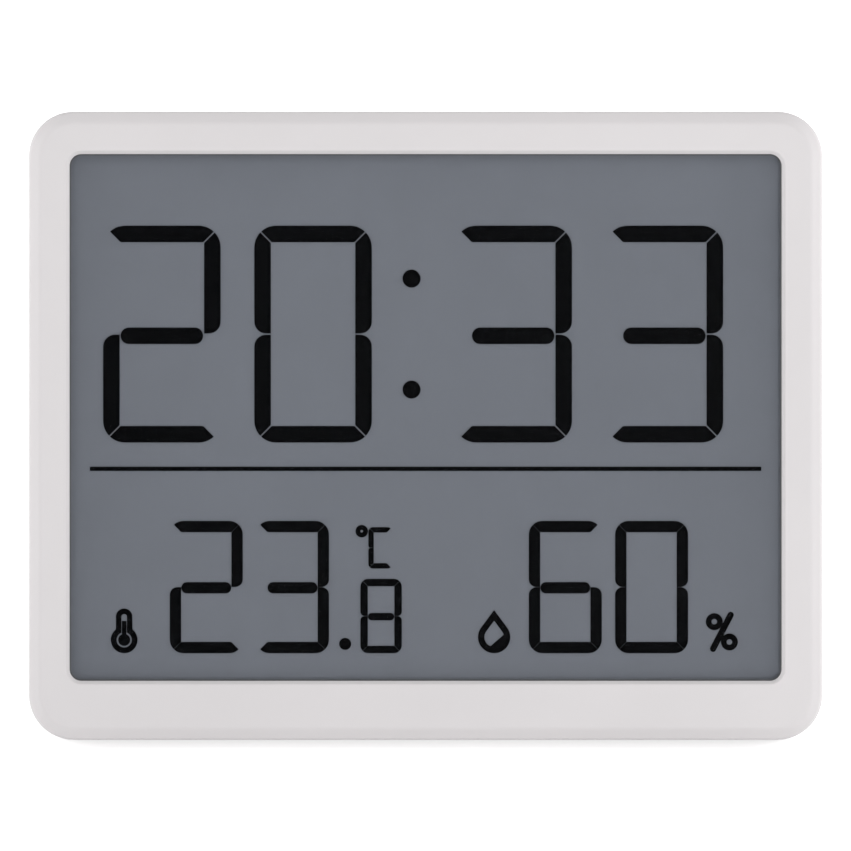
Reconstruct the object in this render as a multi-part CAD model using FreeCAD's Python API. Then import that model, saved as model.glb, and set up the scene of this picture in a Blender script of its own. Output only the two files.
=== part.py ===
import FreeCAD, Part
import math
import os

# Clock with thermometer and hygrometer, standing on a table and leaning back on its folding leg.
#
# Every piece is built with the clock upright: X to the right seen from the front, Y from the front
# face to the rear, Z up from the bottom of the case. The finished pieces are then leaned back
# together until the clock stands on its lower rear edge and on the foot of its leg.
# The origin is on the table, in the middle of the clock's outline seen from above.

# Case
CASE_WIDTH = 168.0
CASE_HEIGHT = 133.0
CASE_CORNER_RADIUS = 9.5
REAR_EDGE_RADIUS = 2.4
BEVEL_WIDTH = 2.4
BEVEL_DROP = 1.0
BEVEL_INNER_RADIUS = 2.0
BEVEL_OUTER_RADIUS = 0.8
LEAN_ANGLE = 15.0

# Shared clearances and the overrun of every cut
CUT_OVERRUN = 1.0
SCREW_GAP = 0.05
ASSEMBLY_GAP = 0.2
PIVOT_GAP = 0.05
SLIDING_GAP = 0.15
RUNNING_GAP = 0.1

# Front frame
FRAME_WALL = 2.0
LIP_THICKNESS = 1.5
SIDE_BEZEL = 8.64
TOP_BEZEL = 9.0
BOTTOM_BEZEL = 12.5
WINDOW_CORNER_RADIUS = 2.5
WINDOW_CHAMFER = 0.7
POCKET_RIB = 1.0

# Display cell
GLASS_THICKNESS = 1.1
GLASS_SIDE_OVERLAP = 1.75
GLASS_TOP_OVERLAP = 1.7
CONTACT_LEDGE = 3.5
REAR_GLASS_OVERLAP = 1.7
SEGMENT_THICKNESS = 0.1
POLARISER_THICKNESS = 0.2
REFLECTOR_THICKNESS = 0.25
FILM_INSET = 0.6
GASKET_THICKNESS = 0.4
GASKET_SHOW = 0.3

# Display tray and its screws
TRAY_THICKNESS = 1.0
TRAY_LUG_HEIGHT = 4.0
# Heights of the tray screws as shares of the case's height
TRAY_SCREW_SHARES = (0.3, 0.715)
TRAY_SCREW_LENGTH = 3.0
TRAY_SCREW_GAP = 0.5
SMALL_SCREW_RADIUS = 0.7
SMALL_HEAD_RADIUS = 1.4
SMALL_HEAD_HEIGHT = 0.8

# Circuit board and what stands on it
BOARD_THICKNESS = 1.0
BOARD_BESIDE_BAY = 6.6
BOARD_ABOVE_BAY = 5.5
BOARD_STANDOFF = 0.55
BOARD_POST_RADIUS = 1.8
BOARD_SCREW_INSET = 2.5
BOARD_SCREW_DEPTH = 1.25
STRIP_WIDTH = 2.0
STRIP_RIGHT_INSET = 3.4
CHIP_RADIUS = 5.0
CHIP_HEIGHT = 1.0
CHIP_EDGE_RADIUS = 0.6
CHIP_FROM_SIDE = 32.2
CHIP_RISE = 10.6
CRYSTAL_RADIUS = 1.0
CRYSTAL_LENGTH = 6.0
CRYSTAL_FROM_SIDE = 42.7
CRYSTAL_RISE = 9.6
SENSOR_SIDE = 5.0
SENSOR_HEIGHT = 1.3
SENSOR_MOUTH_RADIUS = 1.0
SENSOR_MOUTH_DEPTH = 0.4
PASSIVE_LENGTH = 2.0
PASSIVE_WIDTH = 1.25
PASSIVE_HEIGHT = 0.6
# Places of the small parts as shares of the board's width and height
PASSIVE_PLACE_SHARES = (
    (0.28, 0.07), (0.34, 0.07), (0.28, 0.14), (0.34, 0.14), (0.28, 0.21),
    (0.76, 0.05), (0.84, 0.05), (0.76, 0.22), (0.24, 0.44), (0.24, 0.60),
)

# Rear cover: rim, panel and raised block
COVER_WALL = 1.8
COVER_RIM_DEPTH = 3.4
PANEL_THICKNESS = 1.8
REVEAL_WIDTH = 0.5
REVEAL_DEPTH = 0.35
TONGUE_THICKNESS = 1.0
TONGUE_REACH = 1.2
SIDE_TONGUE_INSET = 30.0
TOP_TONGUE_INSET = 29.0
BLOCK_SIDE_INSET = 24.0
BLOCK_BOTTOM = 6.0
BLOCK_CORNER_RADIUS = 8.0
BLOCK_EDGE_RADIUS = 2.0

# Case screws
CASE_SCREW_SIDE_INSET = 12.0
CASE_BOSS_RADIUS = 2.2
CASE_SCREW_RADIUS = 1.0
CASE_SCREW_LENGTH = 5.5
CASE_HEAD_RADIUS = 1.8
CASE_HEAD_HEIGHT = 1.0
COUNTERBORE_DEPTH = 1.6
CROSS_WIDTH = 0.5
CROSS_DEPTH = 0.4
CROSS_REACH_SHARE = 0.7

# Air vents behind the sensor
VENT_COUNT = 5
VENT_LENGTH = 10.0
VENT_HEIGHT = 1.2
VENT_PITCH = 3.0
VENT_SIDE_INSET = 14.0
VENT_Z = 20.0

# Keys and their tactile switches
KEY_SIDE_INSET = 14.0
KEY_LOWEST_Z = 46.0
KEY_PITCH = 12.0
KEY_RADIUS = 4.0
KEY_PROTRUSION = 0.8
KEY_EDGE_RADIUS = 0.4
KEY_GAP = 0.2
KEY_FLANGE_REACH = 0.8
KEY_FLANGE_THICKNESS = 0.8
KEY_TRAVEL = 0.3
KEY_MARK_DEPTH = 0.2
KEY_MARK_LENGTH = 3.0
KEY_MARK_WIDTH = 0.6
TACTILE_SIDE = 6.0
TACTILE_HEIGHT = 1.5
TACTILE_WELL_DEPTH = 1.0
PLUNGER_RADIUS = 0.95
PLUNGER_SHOW = 0.6

# Batteries, bay and contacts
BATTERY_RADIUS = 5.25
BATTERY_LENGTH = 44.5
BATTERY_NUB_RADIUS = 1.9
BATTERY_NUB_HEIGHT = 0.8
BATTERY_EDGE_RADIUS = 0.5
BATTERY_GAP = 0.4
BATTERY_SIDE_GAP = 0.5
BATTERY_FLOOR_GAP = 0.15
BATTERY_DOOR_GAP = 0.35
BAY_INSET = 5.2
BAY_BOTTOM = 30.0
BAY_WALL = 1.4
BAY_FLOOR = 1.0
BAY_BOARD_GAP = 0.4
CONTACT_THICKNESS = 0.3
CONTACT_WIDTH = 8.0
CONTACT_HEIGHT = 8.0
CONTACT_SPRING_SPACE = 3.4
CONTACT_SPRING_WIDTH = 3.0
CONTACT_TAIL_WIDTH = 2.0

# Battery door
DOOR_THICKNESS = 1.6
DOOR_MARGIN = 2.0
DOOR_SEAT_THICKNESS = 1.6
DOOR_SEAT_MARGIN = 1.5
DOOR_TONGUE_REACH = 0.8
DOOR_TONGUE_THICKNESS = 0.8
DOOR_TONGUE_INSET = 2.8
GRIP_COUNT = 5
GRIP_LENGTH = 14.0
GRIP_WIDTH = 1.0
GRIP_PITCH = 2.2
GRIP_DEPTH = 0.4
GRIP_FROM_EDGE = 6.0

# Stand: recess in the block, leg and rubber foot
STAND_OPENING = 32.0
STAND_PIVOT_HEIGHT = 70.0
STAND_BARREL_RADIUS = 2.4
STAND_SKIN = 1.6
STAND_RIB = 1.4
STAND_SIDE_GAP = 0.3
STAND_EDGE_RADIUS = 0.5
RECESS_BAY_GAP = 5.0
RECESS_WALL = 1.6
RECESS_FLOOR_GAP = 0.5
HEEL_HEIGHT = 3.6
HEEL_STOP_GAP = 0.1
HEEL_SWING_GAP = 0.45
HEEL_TOP_DEPTH = 0.4
HEEL_BACK_DEPTH = 2.0
HEEL_BACK_HEIGHT = 1.2
TRUNNION_RADIUS = 1.6
TRUNNION_END_GAP = 0.2
FOOT_RADIUS = 1.4
FOOT_OFFSET = 1.0
FOOT_CAP_LENGTH = 2.6
FOOT_TONGUE_THICKNESS = 1.2
FOOT_TONGUE_LENGTH = 2.0
FOOT_SIDE_INSET = 1.0
LEG_TAPER_LENGTH = 20.0
LEG_POCKET_TOP = 4.5
LEG_POCKET_FOOT = 3.5

# Keyhole for hanging on a wall
KEYHOLE_RADIUS = 4.2
KEYHOLE_SLOT_RADIUS = 2.2
KEYHOLE_RISE = 7.0
KEYHOLE_POCKET_GAP = 1.0
KEYHOLE_POCKET_DEPTH = 4.0
KEYHOLE_POCKET_WALL = 1.2
KEYHOLE_RECESS_GAP = 3.0
KEYHOLE_TOP_ROOM = 2.6

# Large digits of the time. They fill the window between their margins and gaps.
TIME_TOP_MARGIN = 15.13
TIME_LEFT_MARGIN = 7.06
TIME_RIGHT_MARGIN = 12.33
TIME_MIDDLE_GAP = 17.51
TIME_DIGIT_GAP = 7.14
TIME_DIVIDER_GAP = 5.12
TIME_STROKE = 3.5
TIME_CORNER_RADIUS = 4.6
TIME_END_RADIUS = 2.5
TIME_SLIT = 0.26
TIME_BAR_GAP = 0.2
TIME_MIDDLE_DROP = 0.36
HOURS = "20"
MINUTES = "33"
COLON_FROM_HOURS = 8.42
COLON_HALF_SPAN = 11.75
COLON_RADIUS = 1.91
DIVIDER_INSET = 4.25
DIVIDER_RISE = 44.42
DIVIDER_THICKNESS = 0.9

# Middle digits of temperature and humidity, laid out in the same way
READING_BOTTOM_MARGIN = 5.81
READING_LEFT_MARGIN = 21.18
READING_RIGHT_MARGIN = 19.76
READING_MIDDLE_GAP = 42.32
READING_DIGIT_GAP = 2.82
READING_DIVIDER_GAP = 10.58
READING_STROKE = 2.4
READING_CORNER_RADIUS = 2.9
READING_END_RADIUS = 1.6
READING_SLIT = 0.04
READING_BAR_GAP = 0.04
READING_MIDDLE_DROP = 0.15
TEMPERATURE = "23"
HUMIDITY = "60"
DECIMAL_POINT_OFFSET = 3.42
DECIMAL_POINT_RISE = 1.98
DECIMAL_POINT_RADIUS = 1.28

# Small tenths digit, under the letter C
TENTHS_OFFSET = 6.64
TENTHS = "8"
TENTHS_UNIT_GAP = 2.18
TENTHS_DIGIT_WIDTH = 8.77
TENTHS_STROKE = 1.57
TENTHS_CORNER_RADIUS = 1.7
TENTHS_END_RADIUS = 0.9
TENTHS_SLIT = 0.04
TENTHS_BAR_GAP = 0.04
TENTHS_MIDDLE_DROP = 0.13

# Degree sign, letter C and percent sign, with offsets from the digits before them
UNIT_OFFSET = 8.33
UNIT = "C"
UNIT_FROM_TOP = 1.32
UNIT_HEIGHT = 8.77
UNIT_WIDTH = 5.05
UNIT_STROKE = 1.14
UNIT_CORNER_RADIUS = 1.0
UNIT_END_RADIUS = 0.5
UNIT_SLIT = 0.04
UNIT_BAR_GAP = 0.1
DEGREE_OFFSET = 6.93
DEGREE_FROM_TOP = 2.18
DEGREE_RADIUS = 1.33
DEGREE_HOLE_RADIUS = 0.28
PERCENT_OFFSET = 7.16
PERCENT_RISE = 4.53
PERCENT_RING_OFFSET_X = 1.6
PERCENT_RING_OFFSET_Z = 2.15
PERCENT_RING_RADIUS = 1.8
PERCENT_HOLE_RADIUS = 0.58
PERCENT_SLASH_REACH_X = 1.86
PERCENT_SLASH_REACH_Z = 3.58
PERCENT_SLASH_WIDTH = 1.34

# Thermometer icon, left of the temperature
THERMOMETER_OFFSET = 9.66
THERMOMETER_HEIGHT = 9.47
THERMOMETER_BULB_RADIUS = 2.83
THERMOMETER_RING_RADIUS = 1.6
THERMOMETER_DOT_RADIUS = 1.28
THERMOMETER_STEM_RADIUS = 1.75
THERMOMETER_HOLLOW_RADIUS = 0.58
THERMOMETER_COLUMN_WIDTH = 0.96
THERMOMETER_COLUMN_RISE = 6.85

# Droplet icon, left of the humidity
DROPLET_OFFSET = 7.35
DROPLET_HEIGHT = 9.15
DROPLET_RADIUS = 3.42
DROPLET_STROKE = 1.36
DROPLET_FILL_ANGLE = 41.0
DROPLET_FILL_OFFSET = 0.95

# Counts, angles and tolerances that aren't sizes
KEY_COUNT = 3
HALF_TURN_ANGLE = 180.0
EIGHTH_TURN = math.pi / 4
SAME_POINT = 1e-6
SAME_PLANE = 0.02

Vector = FreeCAD.Vector
ACROSS = Vector(1, 0, 0)
REARWARD = Vector(0, 1, 0)
UPWARD = Vector(0, 0, 1)
ORIGIN = Vector(0, 0, 0)

# Planes of the layers, front to rear
POLARISER_FRONT = LIP_THICKNESS + GASKET_THICKNESS
FRONT_GLASS_FRONT = POLARISER_FRONT + POLARISER_THICKNESS
SEGMENT_FRONT = FRONT_GLASS_FRONT + GLASS_THICKNESS
REAR_GLASS_FRONT = SEGMENT_FRONT + SEGMENT_THICKNESS
REFLECTOR_FRONT = REAR_GLASS_FRONT + GLASS_THICKNESS
TRAY_FRONT = REFLECTOR_FRONT + REFLECTOR_THICKNESS
TRAY_REAR = TRAY_FRONT + TRAY_THICKNESS
BOARD_FRONT = TRAY_REAR + BOARD_STANDOFF
BOARD_REAR = BOARD_FRONT + BOARD_THICKNESS
KEY_FLANGE_FRONT = BOARD_REAR + TACTILE_HEIGHT + PLUNGER_SHOW
KEY_FLANGE_REAR = KEY_FLANGE_FRONT + KEY_FLANGE_THICKNESS
PANEL_FRONT = KEY_FLANGE_REAR + RUNNING_GAP
CASE_DEPTH = PANEL_FRONT + PANEL_THICKNESS
FRAME_DEPTH = CASE_DEPTH - COVER_RIM_DEPTH
CASE_SCREW_SEAT = CASE_DEPTH - COUNTERBORE_DEPTH
BAY_FLOOR_FRONT = BOARD_REAR + BAY_BOARD_GAP
BAY_FLOOR_REAR = BAY_FLOOR_FRONT + BAY_FLOOR
BATTERY_Y = BAY_FLOOR_REAR + BATTERY_FLOOR_GAP + BATTERY_RADIUS
DOOR_FRONT = BATTERY_Y + BATTERY_RADIUS + BATTERY_DOOR_GAP
DOOR_GROOVE_FRONT = DOOR_FRONT + RUNNING_GAP
BLOCK_REAR = DOOR_FRONT + DOOR_THICKNESS
BLOCK_WALL_FRONT = BLOCK_REAR - COVER_WALL
STAND_PIVOT_Y = BLOCK_REAR - STAND_BARREL_RADIUS
RECESS_FLOOR = STAND_PIVOT_Y - STAND_BARREL_RADIUS - RECESS_FLOOR_GAP
RECESS_FLOOR_FRONT = RECESS_FLOOR - RECESS_WALL

# Outlines seen from the front
WINDOW_SIDE = CASE_WIDTH / 2 - SIDE_BEZEL
WINDOW_BOTTOM = BOTTOM_BEZEL
WINDOW_TOP = CASE_HEIGHT - TOP_BEZEL
REAR_GLASS_BOTTOM = WINDOW_BOTTOM - REAR_GLASS_OVERLAP
GLASS_SIDE = WINDOW_SIDE + GLASS_SIDE_OVERLAP
GLASS_BOTTOM = REAR_GLASS_BOTTOM - CONTACT_LEDGE
GLASS_TOP = WINDOW_TOP + GLASS_TOP_OVERLAP
POCKET_SIDE = GLASS_SIDE + ASSEMBLY_GAP
POCKET_BOTTOM = GLASS_BOTTOM - ASSEMBLY_GAP
POCKET_TOP = GLASS_TOP + ASSEMBLY_GAP
RIB_SIDE = POCKET_SIDE + POCKET_RIB
FRAME_INNER_SIDE = CASE_WIDTH / 2 - FRAME_WALL
TRAY_SCREW_X = FRAME_INNER_SIDE - SMALL_HEAD_RADIUS - TRAY_SCREW_GAP
CASE_SCREW_X = CASE_WIDTH / 2 - CASE_SCREW_SIDE_INSET
CASE_SCREW_LOW = (FRAME_WALL + POCKET_BOTTOM) / 2
CASE_SCREW_HIGH = (POCKET_TOP + CASE_HEIGHT - FRAME_WALL) / 2
KEY_X = KEY_SIDE_INSET - CASE_WIDTH / 2
KEY_FLANGE_RADIUS = KEY_RADIUS + KEY_FLANGE_REACH
VENT_X = VENT_SIDE_INSET - CASE_WIDTH / 2
BLOCK_WIDTH = CASE_WIDTH - 2 * BLOCK_SIDE_INSET
BATTERY_SPACING = 2 * BATTERY_RADIUS + BATTERY_GAP
BAY_LEFT = -BLOCK_WIDTH / 2 + BAY_INSET
BAY_RIGHT = BAY_LEFT + 2 * (BATTERY_RADIUS + BATTERY_SIDE_GAP) + BATTERY_SPACING
BAY_TOP = BAY_BOTTOM + BATTERY_LENGTH + CONTACT_SPRING_SPACE + 2 * CONTACT_THICKNESS
OUTER_BATTERY_X = BAY_LEFT + BATTERY_SIDE_GAP + BATTERY_RADIUS
INNER_BATTERY_X = OUTER_BATTERY_X + BATTERY_SPACING
DOOR_LEFT = -BLOCK_WIDTH / 2
DOOR_RIGHT = BAY_RIGHT + DOOR_MARGIN
DOOR_BOTTOM = BAY_BOTTOM - DOOR_MARGIN
DOOR_TOP = BAY_TOP + DOOR_MARGIN
BOARD_LEFT = -(GLASS_SIDE + ASSEMBLY_GAP)
BOARD_RIGHT = BAY_RIGHT + BOARD_BESIDE_BAY
BOARD_BOTTOM = GLASS_BOTTOM
BOARD_TOP = BAY_TOP + BOARD_ABOVE_BAY
BOARD_WIDTH = BOARD_RIGHT - BOARD_LEFT
BOARD_HEIGHT = BOARD_TOP - BOARD_BOTTOM
STRIP_LEFT = BOARD_LEFT + POCKET_RIB
STRIP_RIGHT = BOARD_RIGHT - STRIP_RIGHT_INSET
STRIP_BOTTOM = GLASS_BOTTOM + (CONTACT_LEDGE - STRIP_WIDTH) / 2
CHIP_X = BOARD_LEFT + CHIP_FROM_SIDE
CHIP_Z = BOARD_BOTTOM + CHIP_RISE
CRYSTAL_X = BOARD_LEFT + CRYSTAL_FROM_SIDE
CRYSTAL_Z = BOARD_BOTTOM + CRYSTAL_RISE

# The stand's recess beside the battery bay, and the keyhole above it
STAND_WIDTH = -2 * (DOOR_RIGHT + DOOR_SEAT_MARGIN + RECESS_BAY_GAP + RECESS_WALL + STAND_SIDE_GAP)
HEEL_REACH = math.hypot(STAND_PIVOT_Y - RECESS_FLOOR - HEEL_STOP_GAP, HEEL_HEIGHT)
RECESS_TOP = STAND_PIVOT_HEIGHT + HEEL_REACH + HEEL_SWING_GAP
KEYHOLE_POCKET_REACH = KEYHOLE_RADIUS + KEYHOLE_POCKET_GAP
KEYHOLE_OUTER_REACH = KEYHOLE_POCKET_REACH + KEYHOLE_POCKET_WALL
KEYHOLE_HEIGHT = RECESS_TOP + RECESS_WALL + KEYHOLE_RECESS_GAP + KEYHOLE_OUTER_REACH
KEYHOLE_TOP = KEYHOLE_HEIGHT + KEYHOLE_RISE + KEYHOLE_SLOT_RADIUS
BLOCK_TOP = KEYHOLE_TOP + KEYHOLE_POCKET_GAP + KEYHOLE_POCKET_WALL + KEYHOLE_TOP_ROOM

# The image of the display
TIME_DIGIT_WIDTH = (
    2 * WINDOW_SIDE - TIME_LEFT_MARGIN - TIME_RIGHT_MARGIN - TIME_MIDDLE_GAP - 2 * TIME_DIGIT_GAP
) / len(HOURS + MINUTES)
TIME_PITCH = TIME_DIGIT_WIDTH + TIME_DIGIT_GAP
HOURS_X = TIME_LEFT_MARGIN - WINDOW_SIDE
MINUTES_X = HOURS_X + TIME_PITCH + TIME_DIGIT_WIDTH + TIME_MIDDLE_GAP
COLON_X = HOURS_X + TIME_PITCH + TIME_DIGIT_WIDTH + COLON_FROM_HOURS
DIVIDER_BOTTOM = WINDOW_BOTTOM + DIVIDER_RISE
TIME_BOTTOM = DIVIDER_BOTTOM + DIVIDER_THICKNESS + TIME_DIVIDER_GAP
TIME_HEIGHT = WINDOW_TOP - TIME_TOP_MARGIN - TIME_BOTTOM
READING_DIGIT_WIDTH = (
    2 * WINDOW_SIDE - READING_LEFT_MARGIN - READING_RIGHT_MARGIN
    - READING_MIDDLE_GAP - 2 * READING_DIGIT_GAP
) / len(TEMPERATURE + HUMIDITY)
READING_PITCH = READING_DIGIT_WIDTH + READING_DIGIT_GAP
READING_BOTTOM = WINDOW_BOTTOM + READING_BOTTOM_MARGIN
READING_TOP = DIVIDER_BOTTOM - READING_DIVIDER_GAP
READING_HEIGHT = READING_TOP - READING_BOTTOM
TEMPERATURE_X = READING_LEFT_MARGIN - WINDOW_SIDE
TEMPERATURE_RIGHT = TEMPERATURE_X + READING_PITCH + READING_DIGIT_WIDTH
HUMIDITY_X = TEMPERATURE_RIGHT + READING_MIDDLE_GAP
HUMIDITY_RIGHT = HUMIDITY_X + READING_PITCH + READING_DIGIT_WIDTH
DECIMAL_POINT_X = TEMPERATURE_RIGHT + DECIMAL_POINT_OFFSET
TENTHS_X = TEMPERATURE_RIGHT + TENTHS_OFFSET
UNIT_X = TEMPERATURE_RIGHT + UNIT_OFFSET
UNIT_BOTTOM = READING_TOP - UNIT_FROM_TOP - UNIT_HEIGHT
TENTHS_HEIGHT = UNIT_BOTTOM - TENTHS_UNIT_GAP - READING_BOTTOM
DEGREE_X = TEMPERATURE_RIGHT + DEGREE_OFFSET
PERCENT_X = HUMIDITY_RIGHT + PERCENT_OFFSET
THERMOMETER_X = TEMPERATURE_X - THERMOMETER_OFFSET
DROPLET_X = HUMIDITY_X - DROPLET_OFFSET
THERMOMETER_BULB_Z = READING_BOTTOM + THERMOMETER_BULB_RADIUS
THERMOMETER_TOP = READING_BOTTOM + THERMOMETER_HEIGHT
DROPLET_BULB_Z = READING_BOTTOM + DROPLET_RADIUS
DROPLET_TOP = READING_BOTTOM + DROPLET_HEIGHT

# Standing: the leg is as long as it must be for its foot to meet the table
LEAN = math.radians(LEAN_ANGLE)
OPENING = math.radians(STAND_OPENING)
LEG_SLOPE = OPENING - LEAN
TABLE_LEVEL = (
    REAR_EDGE_RADIUS * math.cos(LEAN)
    - (CASE_DEPTH - REAR_EDGE_RADIUS) * math.sin(LEAN)
    - REAR_EDGE_RADIUS
)
PIVOT_LEVEL = STAND_PIVOT_HEIGHT * math.cos(LEAN) - STAND_PIVOT_Y * math.sin(LEAN) - TABLE_LEVEL
LEG_LENGTH = (PIVOT_LEVEL - FOOT_RADIUS + FOOT_OFFSET * math.sin(LEG_SLOPE)) / math.cos(LEG_SLOPE)
BEVEL_ANGLE = math.atan2(BEVEL_DROP, BEVEL_WIDTH)
FRONT_REACH = (
    (BEVEL_WIDTH + BEVEL_INNER_RADIUS * math.tan(BEVEL_ANGLE / 2)) * math.sin(LEAN)
    - BEVEL_INNER_RADIUS * (1 - math.cos(LEAN))
)
REAR_REACH = (
    STAND_PIVOT_HEIGHT * math.sin(LEAN)
    + STAND_PIVOT_Y * math.cos(LEAN)
    + LEG_LENGTH * math.sin(LEG_SLOPE)
    + FOOT_OFFSET * math.cos(LEG_SLOPE)
    + FOOT_RADIUS
)
STANDING_SHIFT = Vector(0, -(FRONT_REACH + REAR_REACH) / 2, -TABLE_LEVEL)


def box(x_low, x_high, y_low, y_high, z_low, z_high):
    """A box between two corners."""
    return Part.makeBox(x_high - x_low, y_high - y_low, z_high - z_low, Vector(x_low, y_low, z_low))


def closed_face(path, to_point):
    """A face inside a path. A pair is a corner, and a four is the middle and the end of an arc."""
    edges = []
    here = to_point(*path[0])
    for step in path[1:] + path[:1]:
        end = to_point(*step[-2:])
        if len(step) > 2:
            edges.append(Part.Arc(here, to_point(*step[:2]), end).toShape())
        elif not here.isEqual(end, SAME_POINT):
            edges.append(Part.makeLine(here, end))
        here = end
    return Part.Face(Part.Wire(edges))


def front_prism(path, y_low, y_high):
    """A prism along Y over a path of X and Z."""
    face = closed_face(path, lambda x, z: Vector(x, y_low, z))
    return face.extrude(REARWARD * (y_high - y_low))


def side_prism(path, x_low, x_high):
    """A prism along X over a path of Y and Z."""
    face = closed_face(path, lambda y, z: Vector(x_low, y, z))
    return face.extrude(ACROSS * (x_high - x_low))


def rounded_prism(x_low, x_high, z_low, z_high, y_low, y_high, radius):
    """A prism along Y with rounded corners."""
    inset = radius * (1 - math.cos(EIGHTH_TURN))
    path = [
        (x_low + radius, z_low),
        (x_high - radius, z_low),
        (x_high - inset, z_low + inset, x_high, z_low + radius),
        (x_high, z_high - radius),
        (x_high - inset, z_high - inset, x_high - radius, z_high),
        (x_low + radius, z_high),
        (x_low + inset, z_high - inset, x_low, z_high - radius),
        (x_low, z_low + radius),
        (x_low + inset, z_low + inset, x_low + radius, z_low),
    ]
    return front_prism(path, y_low, y_high)


def pin_along_y(x, z, y_low, y_high, radius):
    """A round pin along Y."""
    return Part.makeCylinder(radius, y_high - y_low, Vector(x, y_low, z), REARWARD)


def pin_along_x(y, z, x_low, x_high, radius):
    """A round pin along X."""
    return Part.makeCylinder(radius, x_high - x_low, Vector(x_low, y, z), ACROSS)


def joined(shapes):
    """One solid from shapes that touch or overlap."""
    first, rest = shapes[0], shapes[1:]
    return first.fuse(rest).removeSplitter() if rest else first


def edges_at_depth(shape, y):
    """The edges that lie in the plane at depth y."""
    return [edge for edge in shape.Edges if flat_at(edge, y)]


def flat_at(edge, y):
    """Whether an edge lies in the plane at depth y."""
    bounds = edge.BoundBox
    return abs(bounds.YMin - y) < SAME_PLANE and abs(bounds.YMax - y) < SAME_PLANE


def screw(x, z, head_front, radius, length, head_radius, head_height):
    """A round headed screw that points to the front, with a cross recess in its head."""
    head_rear = head_front + head_height
    body = joined([
        pin_along_y(x, z, head_front, head_rear, head_radius),
        pin_along_y(x, z, head_front - length, head_front, radius),
    ])
    reach = head_radius * CROSS_REACH_SHARE
    half = CROSS_WIDTH / 2
    low = head_rear - CROSS_DEPTH
    high = head_rear + CUT_OVERRUN
    level = box(x - reach, x + reach, low, high, z - half, z + half)
    upright = box(x - half, x + half, low, high, z - reach, z + reach)
    return body.cut([level, upright])


def case_screw_places():
    """The places of the case screws."""
    return [(x, z) for x in (-CASE_SCREW_X, CASE_SCREW_X) for z in (CASE_SCREW_LOW, CASE_SCREW_HIGH)]


def tray_screw_places():
    """The places of the tray screws."""
    heights = [share * CASE_HEIGHT for share in TRAY_SCREW_SHARES]
    return [(x, z) for x in (-TRAY_SCREW_X, TRAY_SCREW_X) for z in heights]


def board_screw_places():
    """The places of the board screws, clear of the battery bay."""
    left = BOARD_LEFT + BOARD_SCREW_INSET
    right = BOARD_RIGHT - BOARD_SCREW_INSET
    low = VENT_Z + (KEY_LOWEST_Z - VENT_Z) / 2
    high = BOARD_TOP - BOARD_SCREW_INSET
    foot = BOARD_BOTTOM + STRIP_WIDTH + 2 * BOARD_SCREW_INSET
    return [(left, low), (left, high), (right, foot), (right, high)]


def key_heights():
    """The heights of the three keys."""
    return [KEY_LOWEST_Z + index * KEY_PITCH for index in range(KEY_COUNT)]


def make_front_frame():
    """Front frame: bevelled rim, lip round the window, pocket rib and screw bosses."""
    half = CASE_WIDTH / 2
    frame = rounded_prism(-half, half, 0, CASE_HEIGHT, 0, FRAME_DEPTH, CASE_CORNER_RADIUS)
    frame = frame.makeChamfer(BEVEL_DROP, BEVEL_WIDTH, edges_at_depth(frame, 0))
    frame = frame.makeFillet(BEVEL_INNER_RADIUS, edges_at_depth(frame, 0))
    frame = frame.makeFillet(BEVEL_OUTER_RADIUS, edges_at_depth(frame, BEVEL_DROP))
    hollow = rounded_prism(
        -half + FRAME_WALL, half - FRAME_WALL, FRAME_WALL, CASE_HEIGHT - FRAME_WALL,
        LIP_THICKNESS, FRAME_DEPTH + CUT_OVERRUN, CASE_CORNER_RADIUS - FRAME_WALL,
    )
    frame = frame.cut(hollow)
    rib = box(-RIB_SIDE, RIB_SIDE, LIP_THICKNESS, TRAY_FRONT,
              POCKET_BOTTOM - POCKET_RIB, POCKET_TOP + POCKET_RIB)
    pocket = box(-POCKET_SIDE, POCKET_SIDE, LIP_THICKNESS, TRAY_FRONT + CUT_OVERRUN,
                 POCKET_BOTTOM, POCKET_TOP)
    bosses = [
        pin_along_y(x, z, LIP_THICKNESS, FRAME_DEPTH, CASE_BOSS_RADIUS)
        for x, z in case_screw_places()
    ]
    for x, z in tray_screw_places():
        inner = math.copysign(RIB_SIDE, x)
        outer = math.copysign(FRAME_INNER_SIDE, x)
        bosses.append(box(min(inner, outer), max(inner, outer), LIP_THICKNESS, TRAY_FRONT,
                          z - TRAY_LUG_HEIGHT / 2, z + TRAY_LUG_HEIGHT / 2))
    frame = joined([frame, rib] + bosses).cut(pocket)
    window = rounded_prism(-WINDOW_SIDE, WINDOW_SIDE, WINDOW_BOTTOM, WINDOW_TOP,
                           -CUT_OVERRUN, LIP_THICKNESS + CUT_OVERRUN, WINDOW_CORNER_RADIUS)
    case_tip = CASE_SCREW_SEAT - CASE_SCREW_LENGTH - ASSEMBLY_GAP
    tray_tip = TRAY_REAR - TRAY_SCREW_LENGTH - ASSEMBLY_GAP
    holes = [
        pin_along_y(x, z, case_tip, FRAME_DEPTH + CUT_OVERRUN, CASE_SCREW_RADIUS + SCREW_GAP)
        for x, z in case_screw_places()
    ]
    holes += [
        pin_along_y(x, z, tray_tip, TRAY_FRONT + CUT_OVERRUN, SMALL_SCREW_RADIUS + SCREW_GAP)
        for x, z in tray_screw_places()
    ]
    frame = frame.cut([window] + holes)
    rim = [edge for edge in edges_at_depth(frame, 0) if abs(edge.BoundBox.Center.x) <= WINDOW_SIDE
           and WINDOW_BOTTOM <= edge.BoundBox.Center.z <= WINDOW_TOP]
    return frame.makeChamfer(WINDOW_CHAMFER, rim)


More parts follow.
